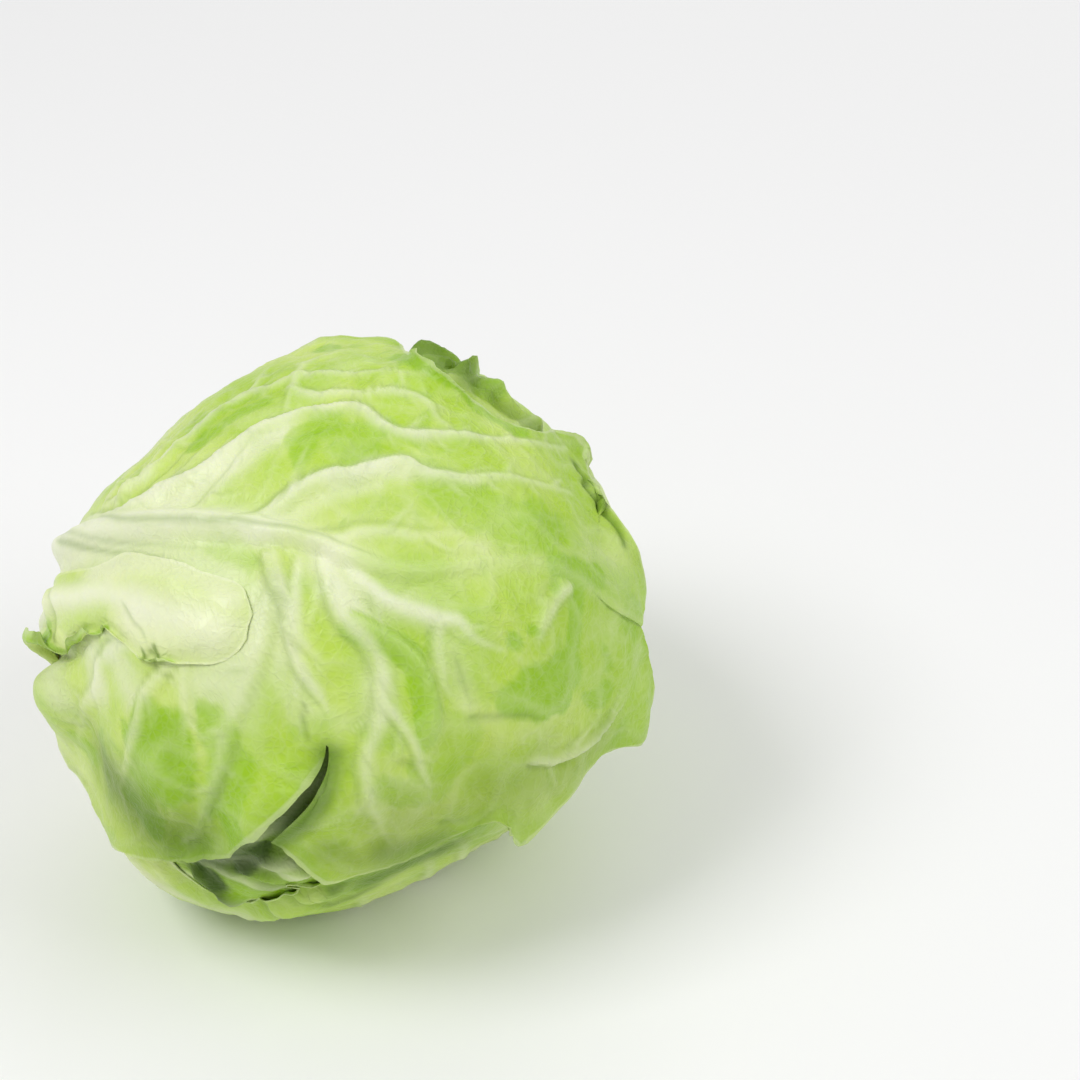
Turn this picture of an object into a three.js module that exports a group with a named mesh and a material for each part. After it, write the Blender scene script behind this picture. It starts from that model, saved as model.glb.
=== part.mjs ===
// A head of cabbage lying on its side: a dense heart of closed leaves, the cut stem that carries
// it, and the wrapper leaves that grow from the stem and fold round the heart one over another.
//
// Units are millimetres and degrees. +Z is up, the head rests on z = 0, and the origin is the
// centre of its footprint. The stem points to -X, +Y and slightly down.
//
// Every leaf is drawn on the head in its own coordinates [along, across], both in degrees seen
// from the head's centre: "along" runs from the stem over the head on the leaf's centre line,
// and "across" is to either side of that line, positive towards the leaf's low side.

import * as THREE from "three";

const DEG = Math.PI / 180;

// The head.
const STEM_YAW = 33; // the stem's turn away from -X, towards +Y
const STEM_PITCH = -6; // the stem's rise above the horizontal
const BODY_SEMI_AXES = [87.5, 91.5, 85.5]; // the heart's ellipsoid along X, Y and Z
const BODY_SWELLINGS = [
  { name: "dimple at the stem", yaw: 147, pitch: -6, reach: 30, rise: -9 },
  { name: "sloping shoulder", yaw: 141, pitch: 42, reach: 36, rise: -9 },
  { name: "low cheek", yaw: 219, pitch: -42, reach: 34, rise: 8 },
  { name: "hollow above the cheek", yaw: 210, pitch: -6, reach: 16, rise: -10 },
  { name: "drawn-in front", yaw: 286, pitch: -50, reach: 28, rise: -7 },
  { name: "flat flank", yaw: 312, pitch: -26, reach: 28, rise: -12 },
  { name: "flat beside the crown", yaw: 5, pitch: 50, reach: 20, rise: -4 },
];
const FLAT_DEPTH = 66; // from the centre down to the heart's flat
const FLAT_BLEND = 8; // rounding between the flat and the round of the head

// The leaves.
const BLADE = 1.0; // thickness of a blade
const LAYER_GAP = 3.0; // from one leaf to the next
const LEAVES_UNDERNEATH = 5; // of which the outermost rests on the floor
const STEM_GAP = 0.9; // extra gap between leaves beside the stem
const STEM_GAP_REACH = 24; // how far from the stem's axis that extra gap reaches
const EDGE_RAMP = 16; // a leaf slopes down to the one below within this angle of an edge it covers
const RIB_RAMP = 3.5; // a rib flattens within this angle of a leaf that covers it
const COVERED_RIB = 0.16; // share of a rib's height that is left under another leaf
const ROW_STEPS = 2; // rows of faces from one station to the next
const SIDE_COLUMNS = 8; // columns of faces on each side of the rib

// The stem.
const STEM_RADIUS = 15;
const STEM_CUT = 101; // from the head's centre to the cut face
const CLEARANCE = 0.5;

// The head's centre in the part's frame.
const CENTRE = new THREE.Vector3(
  -2,
  -1,
  FLAT_DEPTH + LAYER_GAP * LEAVES_UNDERNEATH + BLADE / 2,
);

const toVector = (yaw, pitch) =>
  new THREE.Vector3(
    Math.cos(yaw * DEG) * Math.cos(pitch * DEG),
    Math.sin(yaw * DEG) * Math.cos(pitch * DEG),
    Math.sin(pitch * DEG),
  );

const STEM_AXIS = toVector(180 - STEM_YAW, STEM_PITCH);
const UPWARD = new THREE.Vector3(0, 0, 1)
  .addScaledVector(STEM_AXIS, -STEM_AXIS.z)
  .normalize();
const FORWARD = new THREE.Vector3().crossVectors(UPWARD, STEM_AXIS).normalize();

const smooth = (t) => {
  const c = Math.min(1, Math.max(0, t));
  return c * c * (3 - 2 * c);
};

const bump = (distance, reach) => Math.exp(-((distance / reach) ** 2));

// ---------------------------------------------------------------- leaf coordinates

// The three unit vectors of a leaf's coordinates. turn is measured round the stem from the top
// of the head towards its front.
function leafAxes(turn) {
  const along = new THREE.Vector3()
    .addScaledVector(UPWARD, Math.cos(turn * DEG))
    .addScaledVector(FORWARD, Math.sin(turn * DEG));
  const across = new THREE.Vector3()
    .addScaledVector(UPWARD, -Math.sin(turn * DEG))
    .addScaledVector(FORWARD, Math.cos(turn * DEG));
  return { along, across };
}

function directionAt(leaf, [x, y]) {
  const flat = Math.cos(y * DEG);
  return new THREE.Vector3()
    .addScaledVector(STEM_AXIS, flat * Math.cos(x * DEG))
    .addScaledVector(leaf.axes.along, flat * Math.sin(x * DEG))
    .addScaledVector(leaf.axes.across, Math.sin(y * DEG));
}

function coordinatesOf(leaf, direction) {
  const x =
    Math.atan2(direction.dot(leaf.axes.along), direction.dot(STEM_AXIS)) / DEG;
  const y =
    Math.asin(
      Math.min(1, Math.max(-1, direction.dot(leaf.axes.across))),
    ) / DEG;
  return [x < -90 ? x + 360 : x, y];
}

// ---------------------------------------------------------------- the head's form

function bodyRadius(direction) {
  const [a, b, c] = BODY_SEMI_AXES;
  let radius =
    1 /
    Math.sqrt(
      (direction.x / a) ** 2 + (direction.y / b) ** 2 + (direction.z / c) ** 2,
    );
  for (const swelling of BODY_SWELLINGS) {
    const angle = direction.angleTo(toVector(swelling.yaw, swelling.pitch)) / DEG;
    radius += swelling.rise * bump(angle, swelling.reach);
  }
  return radius;
}

// The head's surface, offset outwards by a number of millimetres, over a flat that lies a
// number of leaves below the heart's own.
function surfaceRadius(direction, offset, leavesDown) {
  const round = bodyRadius(direction) + offset;
  if (direction.z > -0.05) return round;
  const flat = (FLAT_DEPTH + LAYER_GAP * leavesDown) / -direction.z;
  const near = Math.max(0, FLAT_BLEND - Math.abs(round - flat)) / FLAT_BLEND;
  return Math.min(round, flat) - (near * near * FLAT_BLEND) / 4;
}

// 1 on the flat of that surface, 0 on its round.
function flatShare(direction, offset, leavesDown) {
  if (direction.z > -0.05) return 0;
  const flat = (FLAT_DEPTH + LAYER_GAP * leavesDown) / -direction.z;
  return smooth((bodyRadius(direction) + offset - flat) / FLAT_BLEND + 0.5);
}

// ---------------------------------------------------------------- outlines and ribs

function segmentDistance(px, py, a, b, stretch) {
  const ax = (a[0] - px) * stretch;
  const ay = a[1] - py;
  const bx = (b[0] - a[0]) * stretch;
  const by = b[1] - a[1];
  const t = Math.min(
    1,
    Math.max(0, -(ax * bx + ay * by) / (bx * bx + by * by || 1)),
  );
  return Math.hypot(ax + bx * t, ay + by * t);
}

// Degrees from a point to a leaf's outline, negative inside it.
function outlineDistance(leaf, [px, py]) {
  const stretch = Math.cos(py * DEG);
  let nearest = Infinity;
  let inside = false;
  leaf.outline.forEach((a, i) => {
    const b = leaf.outline[(i + 1) % leaf.outline.length];
    nearest = Math.min(nearest, segmentDistance(px, py, a, b, stretch));
    const crosses = a[1] > py !== b[1] > py;
    if (crosses && px < a[0] + ((py - a[1]) / (b[1] - a[1])) * (b[0] - a[0]))
      inside = !inside;
  });
  return inside ? -nearest : nearest;
}

// How much of a leaf lies in a direction: 1 on it, fading to 0 at a ramp's width outside it.
function coverAt(leaf, direction, ramp) {
  const distance = outlineDistance(leaf, coordinatesOf(leaf, direction));
  return 1 - smooth(distance / ramp);
}

// Height of a leaf's side ribs, in millimetres, at a point of the leaf.
function sideRibHeight(leaf, point) {
  const stretch = Math.cos(point[1] * DEG);
  let height = 0;
  for (const rib of leaf.sideRibs) {
    for (let i = 0; i + 1 < rib.path.length; i++) {
      const away = segmentDistance(
        ...point,
        rib.path[i],
        rib.path[i + 1],
        stretch,
      );
      const share = 1 - (0.6 * i) / rib.path.length;
      height = Math.max(height, rib.height * share * bump(away, rib.reach));
    }
  }
  return height;
}

// How far a leaf stands off at a point, in millimetres, beyond its place in the layers.
function liftAt(leaf, [px, py]) {
  let lift = 0;
  for (const { at, reach, rise } of leaf.lifts)
    lift +=
      rise * bump(Math.hypot((px - at[0]) * Math.cos(py * DEG), py - at[1]), reach);
  return lift;
}

function catmullRom(points, position) {
  const last = points.length - 1;
  const i = Math.min(last - 1, Math.floor(position));
  const t = position - i;
  const [p0, p1, p2, p3] = [i - 1, i, i + 1, i + 2].map(
    (k) => points[Math.min(last, Math.max(0, k))],
  );
  return p1.map(
    (v, d) =>
      v +
      0.5 *
        t *
        (p2[d] -
          p0[d] +
          t *
            (2 * p0[d] -
              5 * v +
              4 * p2[d] -
              p3[d] +
              t * (3 * (v - p2[d]) + p3[d] - p0[d]))),
  );
}

const between = (a, b, t) => a.map((v, d) => v + (b[d] - v) * t);

// ---------------------------------------------------------------- the leaves, inner to outer

// A leaf with its outline by formula. length is from the stem over the head to the leaf's tip,
// and low and high are how far its sides reach.
function plainLeaf({ length, low, high, bend, wave }) {
  const stations = [];
  const count = 9;
  const half = length / 2;
  stations.push({ rib: [12.4, 0], low: [[8, 9.5]], high: [[8, -9.5]] });
  for (let i = 1; i <= count; i++) {
    const u = i / count;
    const angle = (0.1 + 0.8 * u) * Math.PI;
    const spread = Math.sin(angle) ** 0.72;
    const edge = (reach, phase) => [
      [
        half * (1 - Math.cos(angle)),
        reach * spread * (1 + 0.045 * Math.sin(wave * u * 6 + phase)),
      ],
    ];
    stations.push({
      rib: [12.4 + (length - 12.4) * u, bend * Math.sin(Math.PI * u)],
      low: edge(low, 0.6),
      high: edge(-high, 2.9),
    });
  }
  const sideRibs = [];
  for (let k = 0; k < 5; k++) {
    const root = 26 + k * 19;
    for (const [side, reach] of [
      [1, low],
      [-1, high],
    ]) {
      const from = root + (side > 0 ? 0 : 8);
      if (from > length - 30) continue;
      sideRibs.push({
        height: 1.1,
        reach: 2.6,
        path: [0, 0.25, 0.55, 0.9].map((s) => [
          from + (26 + 5 * k) * s ** 0.8,
          bend * Math.sin((Math.PI * from) / length) * (1 - s) +
            side * reach * s * (0.92 - 0.07 * k),
        ]),
      });
    }
  }
  return { stations, sideRibs };
}

const LEAVES = [
  {
    name: "inner_leaf_over_crown",
    turn: -12,
    ...plainLeaf({ length: 200, low: 64, high: 58, bend: 6, wave: 1.7 }),
    rib: { height: 3, half: 3.5 },
    ruffle: { amount: 1.2, waves: 5, phase: 0.4 },
    lifts: [],
  },
  {
    name: "inner_leaf_back",
    turn: -142,
    ...plainLeaf({ length: 178, low: 64, high: 60, bend: -5, wave: 1.3 }),
    rib: { height: 3.5, half: 4 },
    ruffle: { amount: 1.4, waves: 6, phase: 1.1 },
    lifts: [],
  },
  {
    name: "wrapper_leaf_back",
    turn: -78,
    ...plainLeaf({ length: 172, low: 66, high: 58, bend: 5, wave: 1.9 }),
    rib: { height: 4.5, half: 4.5 },
    ruffle: { amount: 2.6, waves: 7, phase: 2.0 },
    lifts: [],
  },
  {
    name: "inner_leaf_front",
    turn: 100,
    ...plainLeaf({ length: 176, low: 40, high: 52, bend: 4, wave: 2.3 }),
    rib: { height: 1.8, half: 3.5 },
    ruffle: { amount: 2.4, waves: 9, phase: 0.2 },
    lifts: [],
  },
  {
    name: "wrapper_leaf_underneath",
    turn: 172,
    stations: [
      { rib: [12.4, 0], low: [[8, 9.5]], high: [[8, -9.5]] },
      { rib: [30, -2], low: [[25, 38]], high: [[24, -40]] },
      { rib: [48, -3], low: [[42, 53]], high: [[40, -57]] },
      { rib: [64, -4], low: [[60, 59]], high: [[60, -59]] },
      { rib: [78, -4], low: [[80, 60]], high: [[80, -57]] },
      { rib: [90, -3], low: [[98, 57]], high: [[93, -48]] },
      { rib: [102, -2], low: [[113, 52]], high: [[106, -50]] },
      { rib: [114, -1], low: [[127, 45]], high: [[119, -52]] },
      { rib: [125, 0], low: [[138, 36]], high: [[132, -50]] },
      { rib: [135, 1], low: [[147, 25]], high: [[144, -43]] },
      { rib: [143, 1], low: [[153, 14]], high: [[151, -26]] },
      { rib: [149, 1], low: [[157, 6]], high: [[156, -10]] },
    ],
    sideRibs: [
      { height: 1.0, reach: 2.6, path: [[40, 0], [62, 18], [78, 36]] },
      { height: 1.0, reach: 2.6, path: [[70, -2], [92, 16], [106, 32]] },
      { height: 1.0, reach: 2.6, path: [[98, 0], [116, 12], [130, 22]] },
      { height: 1.0, reach: 2.6, path: [[46, -5], [66, -24], [80, -44]] },
      { height: 1.0, reach: 2.6, path: [[76, -6], [98, -22], [114, -38]] },
    ],
    rib: { height: 4, half: 4.5 },
    ruffle: { amount: 1.6, waves: 6, phase: 0.9 },
    lifts: [],
  },
  {
    name: "wrapper_leaf_front",
    turn: 45,
    tear: { after: 7, column: 5 },
    stations: [
      { rib: [12.4, 0], low: [[8, 9.5]], high: [[8, -9.5]] },
      { rib: [24, 2], low: [[20, 31]], high: [[21, -28]] },
      { rib: [36, 3], low: [[33, 46]], high: [[31, -46]] },
      { rib: [49, 3], low: [[47, 57]], high: [[44, -62]] },
      { rib: [63, 0], low: [[63, 40], [62, 62]], high: [[60, -72]] },
      { rib: [77, -3.5], low: [[84, 40], [84, 62]], high: [[80, -77]] },
      { rib: [91, -7], low: [[105, 35], [103, 59]], high: [[97, -73]] },
      { rib: [103, -9], low: [[115, 7], [125.6, 23], [124.5, 37], [117, 54]], high: [[108, -66.5]] },
      { rib: [106, -9.5], low: [[118, 7], [127.8, 22], [128.4, 33], [126, 45]], high: [[113, -63]] },
      { rib: [113, -10], low: [[130, 20], [132, 50]], high: [[122, -60]] },
      { rib: [121, -9], low: [[140, 20], [143, 53.5]], high: [[133, -59]] },
      { rib: [129, -9.5], low: [[150, 20], [153, 49]], high: [[144, -57]] },
      { rib: [138, -13.5], low: [[161, 12], [167, 37]], high: [[155, -54]] },
      { rib: [147, -18], low: [[166, 10], [169, 27]], high: [[167, -54]] },
      { rib: [155, -20.5], low: [[172, 8], [180, 30]], high: [[180, -58]] },
      { rib: [163, -21], low: [[177, 2], [186, 18]], high: [[199, -59]] },
      { rib: [171, -20], low: [[184, -2], [195, 6]], high: [[184, -45]] },
      { rib: [179, -18], low: [[193, -10], [206, -3]], high: [[185, -34]] },
      { rib: [187, -17], low: [[195, -14], [202, -11]], high: [[192, -25]] },
    ],
    sideRibs: [
      { height: 1.6, reach: 2.2, path: [[66, -3], [80, -19], [88, -37], [103, -44], [125, -42], [152, -48], [186, -56]] },
      { height: 1.5, reach: 2.2, path: [[92, -7], [104, -18], [111, -25], [127, -34], [149, -36], [171, -39]] },
      { height: 1.3, reach: 2.2, path: [[56, -3], [73, -10], [80, -22], [92, -37], [101, -52]] },
      { height: 1.2, reach: 2.2, path: [[48, -2], [65, -11], [73, -28], [77, -45]] },
      { height: 1.6, reach: 2.6, path: [[111, -10], [124, 0], [134, 10], [137, 26], [153, 39]] },
      { height: 1.2, reach: 2.0, path: [[119, -8], [132, -5], [143, 0], [150, 9]] },
      { height: 1.2, reach: 2.2, path: [[92, -6], [104, 4], [107, 15], [109, 28], [101, 54]] },
      { height: 1.2, reach: 2.2, path: [[80, -3], [94, 10], [95, 25], [87, 42], [79, 48]] },
      { height: 1.1, reach: 2.2, path: [[66, 0], [78, 18], [71, 36]] },
    ],
    rib: { height: 6, half: 4.6 },
    ruffle: { amount: 1.6, waves: 8, phase: 0.5 },
    lifts: [
      { at: [44, 35], reach: 10, rise: 7 },
      { at: [206, -3], reach: 10, rise: 6 },
      { at: [182, 30], reach: 9, rise: 4 },
      { at: [199, -58], reach: 12, rise: 4 },
    ],
  },
  {
    name: "torn_leaf_base",
    turn: 62,
    stations: [
      { rib: [12, 3], low: [[7, 10.5]], high: [[11, -5.5]] },
      { rib: [24, 4], low: [[21, 20]], high: [[23, -6]] },
      { rib: [36, 7], low: [[35, 20]], high: [[35, -1]] },
      { rib: [48, 5], low: [[48, 12]], high: [[47, 1]] },
      { rib: [59, -1], low: [[60, 9]], high: [[60, -6.5]] },
      { rib: [68, -4], low: [[69, 6]], high: [[69, -10]] },
      { rib: [77, -7], low: [[77, 0]], high: [[77, -14.5]] },
      { rib: [86, -7], low: [[89, 3]], high: [[87, -16]] },
      { rib: [95, -7], low: [[98, 0.5]], high: [[97, -14]] },
      { rib: [102, -6.5], low: [[106, -2]], high: [[105, -11]] },
    ],
    sideRibs: [],
    rib: { height: 1.2, half: 6 },
    ruffle: { amount: 1.8, waves: 6, phase: 0.8 },
    lifts: [{ at: [50, 9], reach: 9, rise: 4 }],
  },
];

// A row of a leaf is a curve from the rib out through a station's points to the leaf's edge.
// tear.after is the station after which the low side is torn, from tear.column out to the edge.
LEAVES.forEach((leaf) => {
  leaf.axes = leafAxes(leaf.turn);
  const count = leaf.stations.length;
  const torn = leaf.tear ? leaf.tear.after : -1;
  const positions = [0];
  for (let i = 1; i < count; i++) {
    const steps = i - 1 === torn ? 1 : ROW_STEPS;
    for (let k = 1; k <= steps; k++) positions.push(i - 1 + k / steps);
  }
  const pathAt = (station, side, share) => {
    const path = [station.rib, ...station[side]];
    return catmullRom(path, share * (path.length - 1));
  };
  leaf.rows = positions.map((position) => {
    const at = (side, share) => {
      const split = side === "low" && torn >= 0;
      const first = split && position > torn + 0.5 ? torn + 1 : 0;
      const last = split && position < torn + 0.5 ? torn : count - 1;
      const points = leaf.stations
        .slice(first, last + 1)
        .map((station) => pathAt(station, side, share));
      return catmullRom(points, position - first);
    };
    return { position, at };
  });
  leaf.tornRow = leaf.rows.findIndex(({ position }) => position === torn);
  leaf.outline = [
    ...leaf.rows.map((row) => row.at("low", 1)),
    ...leaf.rows.map((row) => row.at("high", 1)).reverse(),
  ];
  if (leaf.tornRow >= 0) {
    const edge = (row) => [1, 0.85, 0.7, 0.55].map((share) => row.at("low", share));
    leaf.outline.splice(
      leaf.tornRow,
      2,
      ...edge(leaf.rows[leaf.tornRow]),
      ...edge(leaf.rows[leaf.tornRow + 1]).reverse(),
    );
  }
});

// Offset of a leaf's middle surface from the heart: one gap for each leaf that lies under it.
function leafOffset(index, direction) {
  const fromStem = direction.angleTo(STEM_AXIS) / DEG;
  const gap = LAYER_GAP + STEM_GAP * bump(fromStem, STEM_GAP_REACH);
  let layers = 1;
  for (let k = 0; k < index; k++)
    layers += coverAt(LEAVES[k], direction, EDGE_RAMP);
  return gap * layers;
}

// 1 where nothing lies over a leaf, fading to 0 where another leaf does.
function exposure(index, direction, ramp) {
  let open = 1;
  for (let k = index + 1; k < LEAVES.length; k++)
    open *= 1 - coverAt(LEAVES[k], direction, ramp);
  return open;
}

// ---------------------------------------------------------------- meshes

function closedGeometry(points, faces) {
  const geometry = new THREE.BufferGeometry();
  geometry.setAttribute(
    "position",
    new THREE.Float32BufferAttribute(points.flatMap((p) => [p.x, p.y, p.z]), 3),
  );
  geometry.setIndex(faces.flat());
  return geometry;
}

// Unit normals of a grid of points: the sum of the faces' normals round each point.
function gridNormals(grid, isTorn) {
  const normals = grid.map((row) => row.map(() => new THREE.Vector3()));
  for (let i = 0; i + 1 < grid.length; i++)
    for (let j = 0; j + 1 < grid[0].length; j++) {
      if (isTorn(i, j)) continue;
      const diagonal = grid[i + 1][j + 1].clone().sub(grid[i][j]);
      const other = grid[i + 1][j].clone().sub(grid[i][j + 1]);
      const normal = diagonal.cross(other);
      for (const [a, b] of [[i, j], [i + 1, j], [i, j + 1], [i + 1, j + 1]])
        normals[a][b].add(normal);
    }
  return normals.map((row) => row.map((normal) => normal.normalize()));
}

// The shares of the way from rib to edge at which a row has its points.
function columnShares(ribShare) {
  const shares = [0, 0.5 * ribShare, ribShare];
  const rest = SIDE_COLUMNS - 2;
  for (let j = 1; j <= rest; j++)
    shares.push(ribShare + (1 - ribShare) * (j / rest));
  return shares;
}

function leafSolid(leaf, index) {
  const steps = leaf.rows.length - 1;
  const grid = [];
  const thickness = [];
  leaf.rows.forEach((path, i) => {
    const u = i / steps;
    const ribHalf = leaf.rib.half * (1 - 0.75 * u);
    const row = [];
    const rise = [];
    for (const side of ["high", "low"]) {
      const rib = path.at(side, 0);
      const edge = path.at(side, 1);
      const span = Math.hypot(edge[0] - rib[0], edge[1] - rib[1]);
      const shares = columnShares(Math.min(0.3, ribHalf / span));
      const half = shares.map((share, j) => {
        const at = path.at(side, share);
        const direction = directionAt(leaf, at);
        const open = exposure(index, direction, EDGE_RAMP);
        const openRib = exposure(index, direction, RIB_RAMP);
        const nearEdge = Math.max(share, (u - 0.75) / 0.25, 0) ** 3;
        const turnOfEdge = u * leaf.ruffle.waves * Math.PI + leaf.ruffle.phase;
        const ruffle =
          nearEdge *
          leaf.ruffle.amount *
          (0.9 + Math.sin(turnOfEdge + (side === "low" ? 0 : 2)));
        const offset =
          leafOffset(index, direction) + open * (ruffle + liftAt(leaf, at));
        const radius = surfaceRadius(direction, offset, index + 1);
        const ribShape = j === 0 ? 1 : j === 1 ? 0.72 : 0;
        const ribHeight = leaf.rib.height * (1 - 0.85 * u) * ribShape;
        return {
          point: direction.clone().multiplyScalar(radius),
          rise:
            Math.max(ribHeight, sideRibHeight(leaf, at)) *
            (COVERED_RIB + (1 - COVERED_RIB) * openRib) *
            (1 - flatShare(direction, offset, index + 1)),
        };
      });
      if (side === "high") half.reverse();
      else half.shift();
      row.push(...half.map((h) => h.point));
      rise.push(...half.map((h) => h.rise));
    }
    grid.push(row);
    thickness.push(rise);
  });
  const isTorn = (i, j) =>
    leaf.tear && i === leaf.tornRow && j >= SIDE_COLUMNS + leaf.tear.column;
  const normals = gridNormals(grid, isTorn);
  const outer = grid.map((row, i) =>
    row.map((p, j) =>
      p.clone().addScaledVector(normals[i][j], BLADE / 2 + thickness[i][j]),
    ),
  );
  const inner = grid.map((row, i) =>
    row.map((p, j) => p.clone().addScaledVector(normals[i][j], -BLADE / 2)),
  );
  return bladeSolid(outer, inner, isTorn);
}

// Joins two like grids of points into one closed blade, leaving out the torn faces.
function bladeSolid(outer, inner, isTorn) {
  const rows = outer.length - 1;
  const columns = outer[0].length - 1;
  const points = [...outer.flat(), ...inner.flat()];
  const under = points.length / 2;
  const at = (i, j) => i * (columns + 1) + j;
  const top = [];
  for (let i = 0; i < rows; i++)
    for (let j = 0; j < columns; j++)
      if (!isTorn(i, j))
        top.push(
          [at(i, j), at(i, j + 1), at(i + 1, j + 1)],
          [at(i, j), at(i + 1, j + 1), at(i + 1, j)],
        );
  const faces = [...top];
  const edges = new Map();
  for (const [a, b, c] of top) {
    faces.push([a + under, c + under, b + under]);
    for (const [from, to] of [[a, b], [b, c], [c, a]])
      edges.set(`${from} ${to}`, [from, to]);
  }
  for (const [from, to] of edges.values())
    if (!edges.has(`${to} ${from}`))
      faces.push([to, from, from + under], [to, from + under, to + under]);
  return closedGeometry(points, faces);
}

// The heart: a closed ball round the stem's axis, with the edges of its own leaves in relief.
function heartSolid() {
  const rings = 22;
  const sides = 36;
  const front = leafAxes(0);
  const points = [];
  const place = (fromStem, turn) => {
    const direction = new THREE.Vector3()
      .addScaledVector(STEM_AXIS, Math.cos(fromStem * DEG))
      .addScaledVector(front.along, Math.sin(fromStem * DEG) * Math.cos(turn * DEG))
      .addScaledVector(front.across, Math.sin(fromStem * DEG) * Math.sin(turn * DEG));
    return direction.multiplyScalar(surfaceRadius(direction, 0, 0));
  };
  for (let i = 1; i < rings; i++)
    for (let j = 0; j < sides; j++)
      points.push(place((180 * i) / rings, (360 * j) / sides));
  const stemPole = points.push(place(0, 0)) - 1;
  const crownPole = points.push(place(180, 0)) - 1;
  const at = (i, j) => (i - 1) * sides + (j % sides);
  const faces = [];
  for (let j = 0; j < sides; j++) {
    faces.push([stemPole, at(1, j + 1), at(1, j)]);
    faces.push([crownPole, at(rings - 1, j), at(rings - 1, j + 1)]);
    for (let i = 1; i < rings - 1; i++) {
      faces.push([at(i, j), at(i + 1, j + 1), at(i + 1, j)]);
      faces.push([at(i, j), at(i, j + 1), at(i + 1, j + 1)]);
    }
  }
  return closedGeometry(points, faces);
}

// The stem: a short round stump from the heart out to its cut face.
function stemSolid() {
  const foot = surfaceRadius(STEM_AXIS, 0, 0) + CLEARANCE;
  const profile = [
    [0, foot],
    [STEM_RADIUS - 1, foot + 1],
    [STEM_RADIUS, foot + 4],
    [STEM_RADIUS - 0.5, STEM_CUT - 2],
    [STEM_RADIUS - 1.6, STEM_CUT],
    [0, STEM_CUT],
  ].map(([radius, height]) => new THREE.Vector2(radius, height));
  const geometry = new THREE.LatheGeometry(profile, 24);
  geometry.applyQuaternion(
    new THREE.Quaternion().setFromUnitVectors(
      new THREE.Vector3(0, 1, 0),
      STEM_AXIS,
    ),
  );
  return geometry;
}

// ---------------------------------------------------------------- assembly

const cabbage = new THREE.Group();

function addPiece(name, geometry, color, roughness) {
  const material = new THREE.MeshStandardMaterial({
    color,
    roughness,
    metalness: 0,
  });
  const mesh = new THREE.Mesh(geometry, material);
  mesh.name = name;
  mesh.position.copy(CENTRE);
  cabbage.add(mesh);
}

addPiece("heart", heartSolid(), 0xd9e6a0, 0.5);
addPiece("stem", stemSolid(), 0xe9edcf, 0.6);
LEAVES.forEach((leaf, index) =>
  addPiece(leaf.name, leafSolid(leaf, index), 0xb4d86c, 0.42),
);

export default cabbage;
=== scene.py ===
"""A head of cabbage lying on its side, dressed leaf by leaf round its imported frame.

Forms are worked out in millimetres and degrees round the head's centre, and a mesh gets its
place in metres at the end. A point of a leaf is [along, across], both in degrees seen from the
head's centre: "along" runs from the stem over the head, "across" to either side of that line.
"""

import logging
import math
from collections.abc import Callable
from dataclasses import dataclass, field
from enum import Enum

import bpy
import numpy as np
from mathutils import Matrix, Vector


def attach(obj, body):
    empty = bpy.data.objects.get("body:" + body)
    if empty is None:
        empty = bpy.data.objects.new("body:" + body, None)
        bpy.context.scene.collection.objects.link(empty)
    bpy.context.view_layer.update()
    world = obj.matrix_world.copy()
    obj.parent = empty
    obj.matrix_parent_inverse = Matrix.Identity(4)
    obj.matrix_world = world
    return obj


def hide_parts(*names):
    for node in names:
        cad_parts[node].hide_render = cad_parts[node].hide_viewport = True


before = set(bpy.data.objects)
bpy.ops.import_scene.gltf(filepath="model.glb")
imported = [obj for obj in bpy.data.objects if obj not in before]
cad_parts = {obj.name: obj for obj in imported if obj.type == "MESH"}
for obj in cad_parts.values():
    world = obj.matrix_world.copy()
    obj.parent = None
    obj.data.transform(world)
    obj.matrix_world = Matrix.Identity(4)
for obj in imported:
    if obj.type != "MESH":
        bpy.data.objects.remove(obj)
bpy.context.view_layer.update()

LOG = logging.getLogger("cabbage")
Array = np.ndarray
Point = tuple[float, float]
Path = tuple[Point, ...]
Screen = tuple[int, int, int]
Colour = tuple[float, float, float, float]

MM = 0.001
DEG = math.pi / 180
ARC = 1.66  # millimetres along the head's skin for one degree
SKIN = 92.0  # the head's mean radius, for forms that run through all its leaves
LEAF_SKIN = 95.0  # the same for what a leaf has of its own
HEART_SKIN = 90.0  # and for the heart
SMOOTH_ANGLE = 60 * DEG  # edges sharper than this stay sharp

# Added to a leaf's seed, so that each of its chance forms has draws of its own.
FRILL_DRAW = 7
RAGGED_DRAW = 50
CURL_DRAW = 90
BRANCH_DRAW = 400


class Slot(Enum):
    """The record's material slots."""

    HEART = "heart_leaf"
    STEM = "stem"
    INNER = "inner_leaf"
    WRAPPER = "wrapper_leaf"
    BASE = "leaf_base"


class Side(Enum):
    """The two sides of a leaf's rib."""

    HIGH = -1
    LOW = 1


class Mark(Enum):
    """What a line drawn on a leaf does to it."""

    VEIN = "a raised pale vein"
    RIDGE = "a raised fold"
    CREASE = "a sunk line with a shade in it"
    LUSH = "a deep green patch"
    PALE = "a pale patch"
    BULGE = "a broad swelling"
    # Painted shade: dark green painted where folds, gaps and overlapping margins would lie in shade.
    DEEP = "a deep green shade"


COLOURS = (Mark.LUSH, Mark.PALE, Mark.DEEP)
PATCHES = (*COLOURS, Mark.BULGE)
LINE_FIELDS = ("height", "width", "lean", "tint", "left")
PATCH_FIELDS = ("width", "tint", "left")

# -------------------- small maths


def smooth(t: Array) -> Array:
    """Eases t from 0 to 1 and holds it there."""
    c = np.clip(t, 0.0, 1.0)
    return c * c * (3.0 - 2.0 * c)


def bump(distance: Array, reach: float | Array) -> Array:
    """A bell of height 1 and the given reach."""
    return np.exp(-((distance / reach) ** 2))


def lengths(vectors: Array) -> Array:
    """Lengths of vectors held in the last axis."""
    return np.sqrt((vectors * vectors).sum(-1))


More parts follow.
